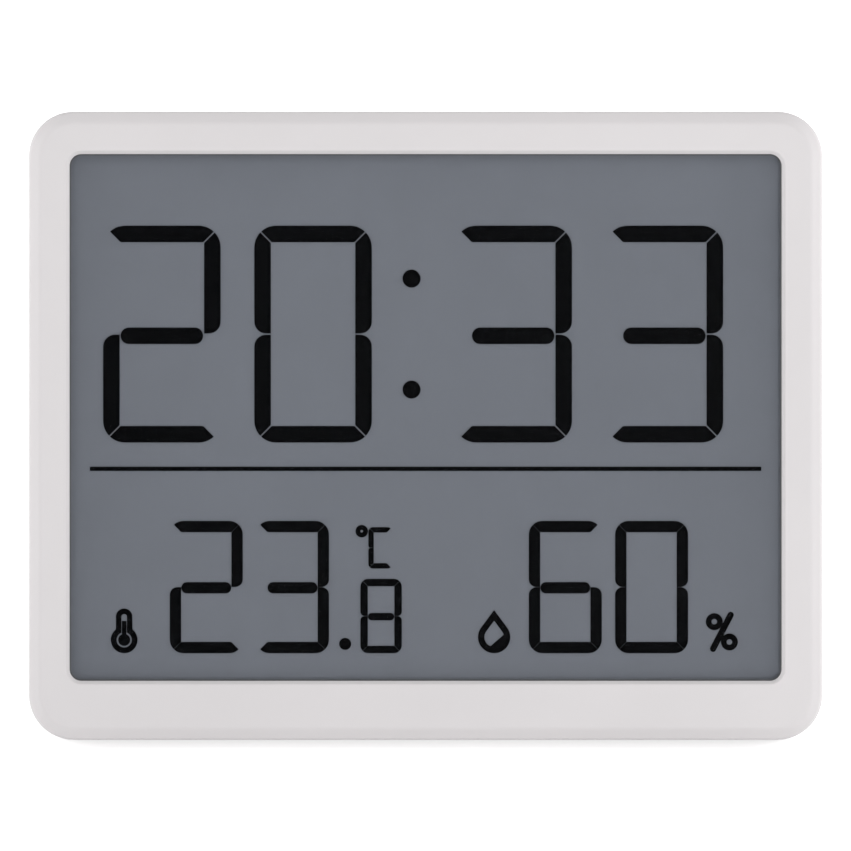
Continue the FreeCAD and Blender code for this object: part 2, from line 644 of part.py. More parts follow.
def make_display_gasket():
    """Black foam ring between the lip and the display, which shows as a thin line in the window."""
    ring = box(-GLASS_SIDE, GLASS_SIDE, LIP_THICKNESS, POLARISER_FRONT, GLASS_BOTTOM, GLASS_TOP)
    opening = rounded_prism(
        -WINDOW_SIDE + GASKET_SHOW, WINDOW_SIDE - GASKET_SHOW,
        WINDOW_BOTTOM + GASKET_SHOW, WINDOW_TOP - GASKET_SHOW,
        LIP_THICKNESS - CUT_OVERRUN, POLARISER_FRONT + CUT_OVERRUN, WINDOW_CORNER_RADIUS - GASKET_SHOW,
    )
    return ring.cut(opening)


def display_layer(front, thickness, bottom, inset):
    """A flat layer of the display cell."""
    return box(-GLASS_SIDE + inset, GLASS_SIDE - inset, front, front + thickness,
               bottom + inset, GLASS_TOP - inset)


def make_lcd_front_polariser():
    """Front polarising film."""
    return display_layer(POLARISER_FRONT, POLARISER_THICKNESS, GLASS_BOTTOM, FILM_INSET)


def make_lcd_front_glass():
    """Front glass, whose lower ledge carries the contacts."""
    return display_layer(FRONT_GLASS_FRONT, GLASS_THICKNESS, GLASS_BOTTOM, 0)


def make_lcd_rear_glass():
    """Rear glass, shorter than the front glass by the contact ledge."""
    return display_layer(REAR_GLASS_FRONT, GLASS_THICKNESS, REAR_GLASS_BOTTOM, 0)


def make_lcd_reflector():
    """Grey reflecting film behind the cell."""
    return display_layer(REFLECTOR_FRONT, REFLECTOR_THICKNESS, REAR_GLASS_BOTTOM, FILM_INSET)


def top_bar(width, height, stroke, corner, slit):
    """The top bar of a digit: mitred ends, with rounded outer corners."""
    shift = slit * math.sin(EIGHTH_TURN)
    tip = EIGHTH_TURN + math.asin(shift * math.sin(EIGHTH_TURN) / corner)
    middle = (tip + math.pi / 2) / 2
    tip_x = corner * (1 - math.cos(tip))
    tip_z = height - corner * (1 - math.sin(tip))
    middle_x = corner * (1 - math.cos(middle))
    middle_z = height - corner * (1 - math.sin(middle))
    return [
        (tip_x, tip_z),
        (middle_x, middle_z, corner, height),
        (width - corner, height),
        (width - middle_x, middle_z, width - tip_x, tip_z),
        (width - stroke - shift, height - stroke),
        (stroke + shift, height - stroke),
    ]


def upper_left_bar(height, stroke, corner, end_radius, slit):
    """The upper left bar of a digit: a mitred top and a lower end rounded on its outer side."""
    shift = slit * math.sin(EIGHTH_TURN)
    tip = EIGHTH_TURN - math.asin(shift * math.sin(EIGHTH_TURN) / corner)
    middle = tip / 2
    low = height / 2 + slit / 2
    inset = end_radius * (1 - math.cos(EIGHTH_TURN))
    return [
        (corner * (1 - math.cos(tip)), height - corner * (1 - math.sin(tip))),
        (corner * (1 - math.cos(middle)), height - corner * (1 - math.sin(middle)), 0, height - corner),
        (0, low + end_radius),
        (inset, low + inset, end_radius, low),
        (stroke, low),
        (stroke, height - stroke - shift),
    ]


def middle_bar(width, height, stroke, bar_gap, drop):
    """The middle bar of a digit, with fully round ends, a little below the middle."""
    radius = stroke / 2
    left = stroke + bar_gap
    right = width - stroke - bar_gap
    middle = height / 2 - drop
    return [
        (left + radius, middle - radius),
        (right - radius, middle - radius),
        (right, middle, right - radius, middle + radius),
        (left + radius, middle + radius),
        (left, middle, left + radius, middle - radius),
    ]


def mirrored(path, width=None, height=None):
    """A path mirrored left to right inside a width, or upside down inside a height."""
    def turn(step):
        values = list(step)
        for index in range(0, len(values), 2):
            if width is not None:
                values[index] = width - values[index]
            if height is not None:
                values[index + 1] = height - values[index + 1]
        return tuple(values)
    return [turn(step) for step in path]


LIT_BARS = {
    "0": ("top", "upper_left", "upper_right", "lower_left", "lower_right", "bottom"),
    "2": ("top", "upper_right", "middle", "lower_left", "bottom"),
    "3": ("top", "upper_right", "middle", "lower_right", "bottom"),
    "6": ("top", "upper_left", "middle", "lower_left", "lower_right", "bottom"),
    "8": ("top", "upper_left", "upper_right", "middle", "lower_left", "lower_right", "bottom"),
    "C": ("top", "upper_left", "lower_left", "bottom"),
}


def digit_bars(width, height, stroke, corner, end_radius, slit, bar_gap, drop=0):
    """The outlines of the seven bars of a digit, from its lower left corner."""
    top = top_bar(width, height, stroke, corner, slit)
    upper_left = upper_left_bar(height, stroke, corner, end_radius, slit)
    lower_left = mirrored(upper_left, height=height)
    return {
        "top": top,
        "bottom": mirrored(top, height=height),
        "upper_left": upper_left,
        "lower_left": lower_left,
        "upper_right": mirrored(upper_left, width=width),
        "lower_right": mirrored(lower_left, width=width),
        "middle": middle_bar(width, height, stroke, bar_gap, drop),
    }


def printed(path):
    """A segment of the display over a path."""
    return front_prism(path, SEGMENT_FRONT, REAR_GLASS_FRONT)


def printed_disc(x, z, radius):
    """A round segment of the display."""
    return pin_along_y(x, z, SEGMENT_FRONT, REAR_GLASS_FRONT, radius)


def cutting_disc(x, z, radius):
    """A round cutter through the segments."""
    return pin_along_y(x, z, SEGMENT_FRONT - CUT_OVERRUN, REAR_GLASS_FRONT + CUT_OVERRUN, radius)


def digits(characters, left, pitch, bottom, bars):
    """The lit bars of a row of digits."""
    shapes = []
    for index, character in enumerate(characters):
        for name in LIT_BARS[character]:
            bar = printed(bars[name])
            bar.translate(Vector(left + index * pitch, 0, bottom))
            shapes.append(bar)
    return shapes


def make_time_digits():
    """The four digits of the time and the colon."""
    bars = digit_bars(TIME_DIGIT_WIDTH, TIME_HEIGHT, TIME_STROKE, TIME_CORNER_RADIUS,
                      TIME_END_RADIUS, TIME_SLIT, TIME_BAR_GAP, TIME_MIDDLE_DROP)
    hours = digits(HOURS, HOURS_X, TIME_PITCH, TIME_BOTTOM, bars)
    minutes = digits(MINUTES, MINUTES_X, TIME_PITCH, TIME_BOTTOM, bars)
    middle = TIME_BOTTOM + TIME_HEIGHT / 2
    colon = [
        printed_disc(COLON_X, z, COLON_RADIUS)
        for z in (middle - COLON_HALF_SPAN, middle + COLON_HALF_SPAN)
    ]
    return Part.makeCompound(hours + minutes + colon)


def make_divider_line():
    """The thin line under the time."""
    half = WINDOW_SIDE - DIVIDER_INSET
    return box(-half, half, SEGMENT_FRONT, REAR_GLASS_FRONT,
               DIVIDER_BOTTOM, DIVIDER_BOTTOM + DIVIDER_THICKNESS)


def reading_bars():
    """The bars of the temperature and humidity digits."""
    return digit_bars(READING_DIGIT_WIDTH, READING_HEIGHT, READING_STROKE, READING_CORNER_RADIUS,
                      READING_END_RADIUS, READING_SLIT, READING_BAR_GAP, READING_MIDDLE_DROP)


def make_temperature_digits():
    """Temperature: two digits, the decimal point and the small tenths digit."""
    tenths = digit_bars(TENTHS_DIGIT_WIDTH, TENTHS_HEIGHT, TENTHS_STROKE, TENTHS_CORNER_RADIUS,
                        TENTHS_END_RADIUS, TENTHS_SLIT, TENTHS_BAR_GAP, TENTHS_MIDDLE_DROP)
    shapes = digits(TEMPERATURE, TEMPERATURE_X, READING_PITCH, READING_BOTTOM, reading_bars())
    shapes += digits(TENTHS, TENTHS_X, READING_PITCH, READING_BOTTOM, tenths)
    point_z = READING_BOTTOM + DECIMAL_POINT_RISE
    shapes.append(printed_disc(DECIMAL_POINT_X, point_z, DECIMAL_POINT_RADIUS))
    return Part.makeCompound(shapes)


def make_humidity_digits():
    """Humidity: two digits."""
    shapes = digits(HUMIDITY, HUMIDITY_X, READING_PITCH, READING_BOTTOM, reading_bars())
    return Part.makeCompound(shapes)


def slanted_bar(start, end, width):
    """The outline of a straight bar with round ends, between the middles of its ends."""
    length = math.hypot(end[0] - start[0], end[1] - start[1])
    along_x = (end[0] - start[0]) / length * width / 2
    along_z = (end[1] - start[1]) / length * width / 2
    return [
        (start[0] - along_z, start[1] + along_x),
        (start[0] - along_x, start[1] - along_z, start[0] + along_z, start[1] - along_x),
        (end[0] + along_z, end[1] - along_x),
        (end[0] + along_x, end[1] + along_z, end[0] - along_z, end[1] + along_x),
    ]


def make_unit_signs():
    """Degree sign, letter C and percent sign."""
    letter = digit_bars(UNIT_WIDTH, UNIT_HEIGHT, UNIT_STROKE, UNIT_CORNER_RADIUS,
                        UNIT_END_RADIUS, UNIT_SLIT, UNIT_BAR_GAP)
    shapes = digits(UNIT, UNIT_X, UNIT_WIDTH, UNIT_BOTTOM, letter)
    degree_z = READING_TOP - DEGREE_FROM_TOP
    degree = printed_disc(DEGREE_X, degree_z, DEGREE_RADIUS)
    shapes.append(degree.cut(cutting_disc(DEGREE_X, degree_z, DEGREE_HOLE_RADIUS)))
    percent_z = READING_BOTTOM + PERCENT_RISE
    for side in (-1, 1):
        x = PERCENT_X + side * PERCENT_RING_OFFSET_X
        z = percent_z - side * PERCENT_RING_OFFSET_Z
        ring = printed_disc(x, z, PERCENT_RING_RADIUS)
        shapes.append(ring.cut(cutting_disc(x, z, PERCENT_HOLE_RADIUS)))
    foot = (PERCENT_X - PERCENT_SLASH_REACH_X, percent_z - PERCENT_SLASH_REACH_Z)
    head = (PERCENT_X + PERCENT_SLASH_REACH_X, percent_z + PERCENT_SLASH_REACH_Z)
    shapes.append(printed(slanted_bar(foot, head, PERCENT_SLASH_WIDTH)))
    return Part.makeCompound(apart(shapes))


def apart(shapes):
    """The separate solids of shapes, with those that meet joined."""
    whole = shapes[0].fuse(shapes[1:])
    return whole.removeSplitter().Solids


def make_thermometer_icon():
    """Thermometer: bulb with a light ring and a black dot, stem with a light bore and a column."""
    x = THERMOMETER_X
    stem_top = THERMOMETER_TOP - THERMOMETER_STEM_RADIUS
    bulb = printed_disc(x, THERMOMETER_BULB_Z, THERMOMETER_BULB_RADIUS)
    stem = printed(slanted_bar((x, THERMOMETER_BULB_Z), (x, stem_top), 2 * THERMOMETER_STEM_RADIUS))
    ring = cutting_disc(x, THERMOMETER_BULB_Z, THERMOMETER_RING_RADIUS)
    bore = front_prism(
        slanted_bar((x, THERMOMETER_BULB_Z), (x, stem_top), 2 * THERMOMETER_HOLLOW_RADIUS),
        SEGMENT_FRONT - CUT_OVERRUN, REAR_GLASS_FRONT + CUT_OVERRUN,
    )
    outline = joined([bulb, stem]).cut([ring, bore])
    dot = printed_disc(x, THERMOMETER_BULB_Z, THERMOMETER_DOT_RADIUS)
    column_half = THERMOMETER_COLUMN_WIDTH / 2
    column = box(x - column_half, x + column_half, SEGMENT_FRONT, REAR_GLASS_FRONT,
                 THERMOMETER_BULB_Z, READING_BOTTOM + THERMOMETER_COLUMN_RISE)
    return Part.makeCompound([outline, joined([dot, column])])


def drop_path(radius, top):
    """A drop: a round bulb below and two straight sides to a point."""
    rise = top - DROPLET_BULB_Z
    side = math.asin(radius / rise)
    touch_x = radius * math.cos(side)
    touch_z = DROPLET_BULB_Z + radius * math.sin(side)
    return [
        (DROPLET_X, top),
        (DROPLET_X - touch_x, touch_z),
        (DROPLET_X, DROPLET_BULB_Z - radius, DROPLET_X + touch_x, touch_z),
    ]


def droplet_filling():
    """The dark lower right of the drop: a block below a slanted line."""
    slope = math.radians(DROPLET_FILL_ANGLE)
    along = (math.cos(slope) * DROPLET_RADIUS, math.sin(slope) * DROPLET_RADIUS)
    down = (math.sin(slope), -math.cos(slope))
    near = DROPLET_FILL_OFFSET
    far = near + DROPLET_RADIUS
    path = [
        (DROPLET_X + down[0] * depth + side * along[0], DROPLET_BULB_Z + down[1] * depth + side * along[1])
        for depth, side in ((near, -1), (near, 1), (far, 1), (far, -1))
    ]
    return front_prism(path, SEGMENT_FRONT - CUT_OVERRUN, REAR_GLASS_FRONT + CUT_OVERRUN)


def make_droplet_icon():
    """Drop with a light upper left and a dark lower right."""
    inner_radius = DROPLET_RADIUS - DROPLET_STROKE
    rise = DROPLET_TOP - DROPLET_BULB_Z
    inner_top = DROPLET_BULB_Z + rise * inner_radius / DROPLET_RADIUS
    hollow = front_prism(drop_path(inner_radius, inner_top),
                         SEGMENT_FRONT - CUT_OVERRUN, REAR_GLASS_FRONT + CUT_OVERRUN)
    return printed(drop_path(DROPLET_RADIUS, DROPLET_TOP)).cut(hollow.cut(droplet_filling()))


def make_display_tray():
    """Tray behind the cell: plate over the pocket ribs, lugs for its screws and posts for the board."""
    plate = box(-RIB_SIDE, RIB_SIDE, TRAY_FRONT, TRAY_REAR,
                POCKET_BOTTOM + RUNNING_GAP, POCKET_TOP - RUNNING_GAP)
    lugs = []
    for x, z in tray_screw_places():
        inner = math.copysign(RIB_SIDE, x)
        outer = math.copysign(FRAME_INNER_SIDE - ASSEMBLY_GAP, x)
        lugs.append(box(min(inner, outer), max(inner, outer), TRAY_FRONT, TRAY_REAR,
                        z - TRAY_LUG_HEIGHT / 2, z + TRAY_LUG_HEIGHT / 2))
    posts = [
        pin_along_y(x, z, TRAY_FRONT, BOARD_FRONT, BOARD_POST_RADIUS) for x, z in board_screw_places()
    ]
    slot = box(STRIP_LEFT - ASSEMBLY_GAP, STRIP_RIGHT + ASSEMBLY_GAP,
               TRAY_FRONT - CUT_OVERRUN, TRAY_REAR + CUT_OVERRUN,
               STRIP_BOTTOM - ASSEMBLY_GAP, STRIP_BOTTOM + STRIP_WIDTH + ASSEMBLY_GAP)
    hole_radius = SMALL_SCREW_RADIUS + SCREW_GAP
    holes = [
        pin_along_y(x, z, TRAY_FRONT - CUT_OVERRUN, BOARD_FRONT + CUT_OVERRUN, hole_radius)
        for x, z in tray_screw_places() + board_screw_places()
    ]
    return joined([plate] + lugs + posts).cut([slot] + holes)


def make_tray_screws():
    """Four screws through the lugs of the tray into the frame."""
    return Part.makeCompound([
        screw(x, z, TRAY_REAR, SMALL_SCREW_RADIUS, TRAY_SCREW_LENGTH,
              SMALL_HEAD_RADIUS, SMALL_HEAD_HEIGHT)
        for x, z in tray_screw_places()
    ])


def make_contact_strip():
    """Elastomer strip from the ledge of the front glass to the board."""
    return box(STRIP_LEFT, STRIP_RIGHT, SEGMENT_FRONT, BOARD_FRONT,
               STRIP_BOTTOM, STRIP_BOTTOM + STRIP_WIDTH)


def make_main_board():
    """Circuit board."""
    board = box(BOARD_LEFT, BOARD_RIGHT, BOARD_FRONT, BOARD_REAR, BOARD_BOTTOM, BOARD_TOP)
    holes = [
        pin_along_y(x, z, BOARD_FRONT - CUT_OVERRUN, BOARD_REAR + CUT_OVERRUN,
                    SMALL_SCREW_RADIUS + SCREW_GAP)
        for x, z in board_screw_places()
    ]
    return board.cut(holes)


def make_board_screws():
    """Four screws through the board into the posts of the tray."""
    length = BOARD_THICKNESS + BOARD_SCREW_DEPTH
    return Part.makeCompound([
        screw(x, z, BOARD_REAR, SMALL_SCREW_RADIUS, length, SMALL_HEAD_RADIUS, SMALL_HEAD_HEIGHT)
        for x, z in board_screw_places()
    ])


def make_controller_chip():
    """The controller under its drop of resin."""
    drop = pin_along_y(CHIP_X, CHIP_Z, BOARD_REAR, BOARD_REAR + CHIP_HEIGHT, CHIP_RADIUS)
    return drop.makeFillet(CHIP_EDGE_RADIUS, edges_at_depth(drop, BOARD_REAR + CHIP_HEIGHT))


def make_clock_crystal():
    """Small can of the clock crystal, lying on the board."""
    return Part.makeCylinder(CRYSTAL_RADIUS, CRYSTAL_LENGTH,
                             Vector(CRYSTAL_X, BOARD_REAR + CRYSTAL_RADIUS, CRYSTAL_Z), UPWARD)


def make_air_sensor():
    """Temperature and humidity sensor behind the vents, with its air mouth."""
    half = SENSOR_SIDE / 2
    rear = BOARD_REAR + SENSOR_HEIGHT
    body = box(VENT_X - half, VENT_X + half, BOARD_REAR, rear, VENT_Z - half, VENT_Z + half)
    return body.cut(pin_along_y(VENT_X, VENT_Z, rear - SENSOR_MOUTH_DEPTH, rear + CUT_OVERRUN,
                                SENSOR_MOUTH_RADIUS))


def make_board_passives():
    """Small resistors and capacitors."""
    parts = []
    for across_share, up_share in PASSIVE_PLACE_SHARES:
        x = BOARD_LEFT + across_share * BOARD_WIDTH
        z = BOARD_BOTTOM + up_share * BOARD_HEIGHT
        parts.append(box(x, x + PASSIVE_LENGTH, BOARD_REAR, BOARD_REAR + PASSIVE_HEIGHT,
                         z, z + PASSIVE_WIDTH))
    return Part.makeCompound(parts)


def make_key_switches():
    """Three tactile switches, each with the well of its plunger."""
    half = TACTILE_SIDE / 2
    rear = BOARD_REAR + TACTILE_HEIGHT
    switches = []
    for z in key_heights():
        body = box(KEY_X - half, KEY_X + half, BOARD_REAR, rear, z - half, z + half)
        well = pin_along_y(KEY_X, z, rear - TACTILE_WELL_DEPTH, rear + CUT_OVERRUN,
                           PLUNGER_RADIUS + RUNNING_GAP)
        switches.append(body.cut(well))
    return Part.makeCompound(switches)


def make_key(z, mark):
    """A key cap with its flange behind the panel and its mark on top."""
    rear = CASE_DEPTH + KEY_PROTRUSION
    cap = pin_along_y(KEY_X, z, KEY_FLANGE_FRONT, rear, KEY_RADIUS)
    cap = cap.makeFillet(KEY_EDGE_RADIUS, edges_at_depth(cap, rear))
    flange = pin_along_y(KEY_X, z, KEY_FLANGE_FRONT, KEY_FLANGE_REAR, KEY_FLANGE_RADIUS)
    return joined([cap, flange]).cut(mark)


def mark_bar(z, length, height):
    """A cutter for one bar of a mark on the key at height z."""
    rear = CASE_DEPTH + KEY_PROTRUSION
    return box(KEY_X - length / 2, KEY_X + length / 2, rear - KEY_MARK_DEPTH, rear + CUT_OVERRUN,
               z - height / 2, z + height / 2)


def make_set_key():
    """Key with a small square mark."""
    z = key_heights()[2]
    return make_key(z, [mark_bar(z, KEY_MARK_LENGTH / 2, KEY_MARK_LENGTH / 2)])


def make_up_key():
    """Key with a plus."""
    z = key_heights()[1]
    level = mark_bar(z, KEY_MARK_LENGTH, KEY_MARK_WIDTH)
    upright = mark_bar(z, KEY_MARK_WIDTH, KEY_MARK_LENGTH)
    return make_key(z, [level, upright])


def make_down_key():
    """Key with a minus."""
    z = key_heights()[0]
    return make_key(z, [mark_bar(z, KEY_MARK_LENGTH, KEY_MARK_WIDTH)])


def make_plunger(index):
    """The plunger of a switch, between its key and the well that it travels into."""
    well_floor = BOARD_REAR + TACTILE_HEIGHT - TACTILE_WELL_DEPTH
    front = well_floor + KEY_TRAVEL + RUNNING_GAP
    return pin_along_y(KEY_X, key_heights()[index], front, KEY_FLANGE_FRONT, PLUNGER_RADIUS)


def make_rear_shell():
    """The rim and panel of the rear cover with the hollow block."""
    half = CASE_WIDTH / 2
    block_half = BLOCK_WIDTH / 2
    rim = rounded_prism(-half, half, 0, CASE_HEIGHT, FRAME_DEPTH, CASE_DEPTH, CASE_CORNER_RADIUS)
    rim = rim.makeFillet(REAR_EDGE_RADIUS, edges_at_depth(rim, CASE_DEPTH))
    reveal_middle = FRAME_DEPTH + REVEAL_WIDTH
    reveal = rounded_prism(-half - CUT_OVERRUN, half + CUT_OVERRUN, -CUT_OVERRUN,
                           CASE_HEIGHT + CUT_OVERRUN, FRAME_DEPTH - CUT_OVERRUN, reveal_middle,
                           CASE_CORNER_RADIUS)
    core = rounded_prism(-half + REVEAL_DEPTH, half - REVEAL_DEPTH, REVEAL_DEPTH,
                         CASE_HEIGHT - REVEAL_DEPTH, FRAME_DEPTH - CUT_OVERRUN, reveal_middle,
                         CASE_CORNER_RADIUS - REVEAL_DEPTH)
    hollow = rounded_prism(-half + COVER_WALL, half - COVER_WALL, COVER_WALL,
                           CASE_HEIGHT - COVER_WALL, FRAME_DEPTH - CUT_OVERRUN, PANEL_FRONT,
                           CASE_CORNER_RADIUS - COVER_WALL)
    block = rounded_prism(-block_half, block_half, BLOCK_BOTTOM, BLOCK_TOP, PANEL_FRONT, BLOCK_REAR,
                          BLOCK_CORNER_RADIUS)
    block = block.makeFillet(BLOCK_EDGE_RADIUS, edges_at_depth(block, BLOCK_REAR))
    block_hollow = rounded_prism(-block_half + COVER_WALL, block_half - COVER_WALL,
                                 BLOCK_BOTTOM + COVER_WALL, BLOCK_TOP - COVER_WALL,
                                 FRAME_DEPTH - CUT_OVERRUN, BLOCK_WALL_FRONT,
                                 BLOCK_CORNER_RADIUS - COVER_WALL)
    rim = rim.cut([reveal.cut(core), hollow])
    return rim.fuse([block]).cut([block_hollow])


def cover_tongues():
    """Four strips on the cover that centre it inside the frame."""
    side = FRAME_INNER_SIDE - SLIDING_GAP
    top = CASE_HEIGHT - FRAME_WALL - SLIDING_GAP
    bottom = FRAME_WALL + SLIDING_GAP
    low = FRAME_DEPTH - TONGUE_REACH
    rear = CASE_DEPTH - PANEL_THICKNESS / 2
    across = CASE_WIDTH / 2 - TOP_TONGUE_INSET
    high = CASE_HEIGHT - SIDE_TONGUE_INSET
    return [
        box(-side, -side + TONGUE_THICKNESS, low, rear, SIDE_TONGUE_INSET, high),
        box(side - TONGUE_THICKNESS, side, low, rear, SIDE_TONGUE_INSET, high),
        box(-across, across, low, rear, top - TONGUE_THICKNESS, top),
        box(-across, across, low, rear, bottom, bottom + TONGUE_THICKNESS),
    ]


def cover_additions():
    """Screw columns, recess walls, battery bay, door seat and keyhole pocket."""
    columns = [
        pin_along_y(x, z, FRAME_DEPTH, PANEL_FRONT + CUT_OVERRUN / 2, CASE_BOSS_RADIUS)
        for x, z in case_screw_places()
    ]
    recess_half = STAND_WIDTH / 2 + STAND_SIDE_GAP + RECESS_WALL
    recess = box(-recess_half, recess_half, RECESS_FLOOR_FRONT, BLOCK_REAR - COVER_WALL / 2,
                 BLOCK_BOTTOM + COVER_WALL / 2, RECESS_TOP + RECESS_WALL)
    bay = box(BAY_LEFT - BAY_WALL, BAY_RIGHT + BAY_WALL, BAY_FLOOR_FRONT, DOOR_FRONT - RUNNING_GAP,
              BAY_BOTTOM - BAY_WALL, BAY_TOP + BAY_WALL)
    seat = box(DOOR_LEFT + COVER_WALL / 2, DOOR_RIGHT + DOOR_SEAT_MARGIN,
               DOOR_FRONT - DOOR_SEAT_THICKNESS, BLOCK_REAR - COVER_WALL / 2,
               DOOR_BOTTOM - DOOR_SEAT_MARGIN, DOOR_TOP + DOOR_SEAT_MARGIN)
    reach = KEYHOLE_OUTER_REACH
    pocket = box(-reach, reach, BLOCK_WALL_FRONT - KEYHOLE_POCKET_DEPTH - KEYHOLE_POCKET_WALL,
                 BLOCK_REAR - COVER_WALL / 2, KEYHOLE_HEIGHT - reach,
                 KEYHOLE_TOP + KEYHOLE_POCKET_GAP + KEYHOLE_POCKET_WALL)
    return columns + [recess, bay, seat, pocket]


def keyhole_cutters():
    """The round entry, the slot above it and the pocket for the head of the wall screw."""
    low = BLOCK_WALL_FRONT - CUT_OVERRUN
    high = BLOCK_REAR + CUT_OVERRUN
    entry = pin_along_y(0, KEYHOLE_HEIGHT, low, high, KEYHOLE_RADIUS)
    slot = front_prism(
        slanted_bar((0, KEYHOLE_HEIGHT), (0, KEYHOLE_HEIGHT + KEYHOLE_RISE), 2 * KEYHOLE_SLOT_RADIUS),
        low, high,
    )
    reach = KEYHOLE_POCKET_REACH
    pocket = box(-reach, reach, BLOCK_WALL_FRONT - KEYHOLE_POCKET_DEPTH, BLOCK_WALL_FRONT,
                 KEYHOLE_HEIGHT - reach, KEYHOLE_TOP + KEYHOLE_POCKET_GAP)
    return [entry, slot, pocket]


def door_cutters():
    """The opening for the battery door, its two grooves and the inside of the battery bay."""
    left = DOOR_LEFT - CUT_OVERRUN
    seat = DOOR_FRONT - RUNNING_GAP
    opening = box(left, DOOR_RIGHT + SLIDING_GAP, seat, BLOCK_REAR + CUT_OVERRUN,
                  DOOR_BOTTOM - SLIDING_GAP, DOOR_TOP + SLIDING_GAP)
    groove_low = DOOR_GROOVE_FRONT - RUNNING_GAP
    groove_high = DOOR_GROOVE_FRONT + DOOR_TONGUE_THICKNESS + RUNNING_GAP
    reach = DOOR_TONGUE_REACH + SLIDING_GAP
    grooves = box(left, DOOR_RIGHT - DOOR_TONGUE_INSET + SLIDING_GAP, groove_low, groove_high,
                  DOOR_BOTTOM - reach, DOOR_TOP + reach)
    inside = box(BAY_LEFT, BAY_RIGHT, BAY_FLOOR_REAR, BLOCK_REAR, BAY_BOTTOM, BAY_TOP)
    tails = [
        box(x - CONTACT_TAIL_WIDTH / 2 - SLIDING_GAP, x + CONTACT_TAIL_WIDTH / 2 + SLIDING_GAP,
            BAY_FLOOR_FRONT - CUT_OVERRUN, BAY_FLOOR_REAR + CUT_OVERRUN,
            BAY_TOP - CONTACT_THICKNESS - SLIDING_GAP, BAY_TOP)
        for x in (OUTER_BATTERY_X, INNER_BATTERY_X)
    ]
    return [opening, grooves, inside] + tails


def make_rear_cover():
    """Rear cover: shell with its bosses, bays and walls, then all its openings."""
    shell = joined([make_rear_shell()] + cover_tongues() + cover_additions())
    recess_half = STAND_WIDTH / 2 + STAND_SIDE_GAP
    recess = box(-recess_half, recess_half, RECESS_FLOOR, BLOCK_REAR + CUT_OVERRUN,
                 BLOCK_BOTTOM - CUT_OVERRUN, RECESS_TOP)
    bearing = pin_along_x(STAND_PIVOT_Y, STAND_PIVOT_HEIGHT, -recess_half - RECESS_WALL,
                          recess_half + RECESS_WALL, TRUNNION_RADIUS + PIVOT_GAP)
    shell = shell.cut([recess, bearing] + door_cutters() + keyhole_cutters())
    holes = []
    for x, z in case_screw_places():
        holes.append(pin_along_y(x, z, FRAME_DEPTH - CUT_OVERRUN, CASE_DEPTH + CUT_OVERRUN,
                                 CASE_SCREW_RADIUS + SCREW_GAP))
        holes.append(pin_along_y(x, z, CASE_SCREW_SEAT, CASE_DEPTH + CUT_OVERRUN,
                                 CASE_HEAD_RADIUS + ASSEMBLY_GAP))
    for z in key_heights():
        holes.append(pin_along_y(KEY_X, z, PANEL_FRONT - CUT_OVERRUN, CASE_DEPTH + CUT_OVERRUN,
                                 KEY_RADIUS + KEY_GAP))
    for index in range(VENT_COUNT):
        z = VENT_Z + (index - (VENT_COUNT - 1) / 2) * VENT_PITCH
        reach = (VENT_LENGTH - VENT_HEIGHT) / 2
        vent = slanted_bar((VENT_X - reach, z), (VENT_X + reach, z), VENT_HEIGHT)
        holes.append(front_prism(vent, PANEL_FRONT - CUT_OVERRUN, CASE_DEPTH + CUT_OVERRUN))
    return shell.cut(holes)


def make_case_screws():
    """Four screws from the rear cover into the bosses of the frame."""
    return Part.makeCompound([
        screw(x, z, CASE_SCREW_SEAT, CASE_SCREW_RADIUS, CASE_SCREW_LENGTH,
              CASE_HEAD_RADIUS, CASE_HEAD_HEIGHT)
        for x, z in case_screw_places()
    ])


def make_battery(x, plus_up):
    """An AAA cell with its plus end up or down."""
    length = BATTERY_LENGTH - BATTERY_NUB_HEIGHT
    can = Part.makeCylinder(BATTERY_RADIUS, length, ORIGIN, UPWARD)
    ends = [edge for edge in can.Edges if edge.Curve.TypeId == "Part::GeomCircle"]
    can = can.makeFillet(BATTERY_EDGE_RADIUS, ends)
    nub = Part.makeCylinder(BATTERY_NUB_RADIUS, BATTERY_NUB_HEIGHT, Vector(0, 0, length), UPWARD)
    cell = joined([can, nub])
    if plus_up:
        cell.translate(Vector(x, BATTERY_Y, BAY_TOP - CONTACT_THICKNESS - BATTERY_LENGTH))
    else:
        cell.rotate(ORIGIN, ACROSS, HALF_TURN_ANGLE)
        cell.translate(Vector(x, BATTERY_Y, BAY_BOTTOM + CONTACT_THICKNESS + BATTERY_LENGTH))
    return cell


def make_battery_1():
    """Outer cell, plus end up."""
    return make_battery(OUTER_BATTERY_X, True)


def make_battery_2():
    """Inner cell, plus end down."""
    return make_battery(INNER_BATTERY_X, False)


def spring_leaf(x, base_z, tip_z):
    """A bowed leaf of a contact, from its plate to the flat end of a cell."""
    half = CONTACT_HEIGHT / 2 - CONTACT_THICKNESS
    step = math.copysign(CONTACT_THICKNESS, tip_z - base_z)
    path = [
        (BATTERY_Y - half, base_z),
        (BATTERY_Y, tip_z, BATTERY_Y + half, base_z),
        (BATTERY_Y + half - CONTACT_THICKNESS, base_z),
        (BATTERY_Y, tip_z - step, BATTERY_Y - half + CONTACT_THICKNESS, base_z),
    ]
    return side_prism(path, x - CONTACT_SPRING_WIDTH / 2, x + CONTACT_SPRING_WIDTH / 2)


def contact_plate(x_low, x_high, z_low):
    """A flat contact plate across the end of the bay."""
    half = CONTACT_HEIGHT / 2
    return box(x_low, x_high, BATTERY_Y - half, BATTERY_Y + half, z_low, z_low + CONTACT_THICKNESS)


def contact_tail(x):
    """The tail of a contact, down through the floor of the bay to the board."""
    return box(x - CONTACT_TAIL_WIDTH / 2, x + CONTACT_TAIL_WIDTH / 2, BOARD_REAR, BATTERY_Y,
               BAY_TOP - CONTACT_THICKNESS, BAY_TOP)


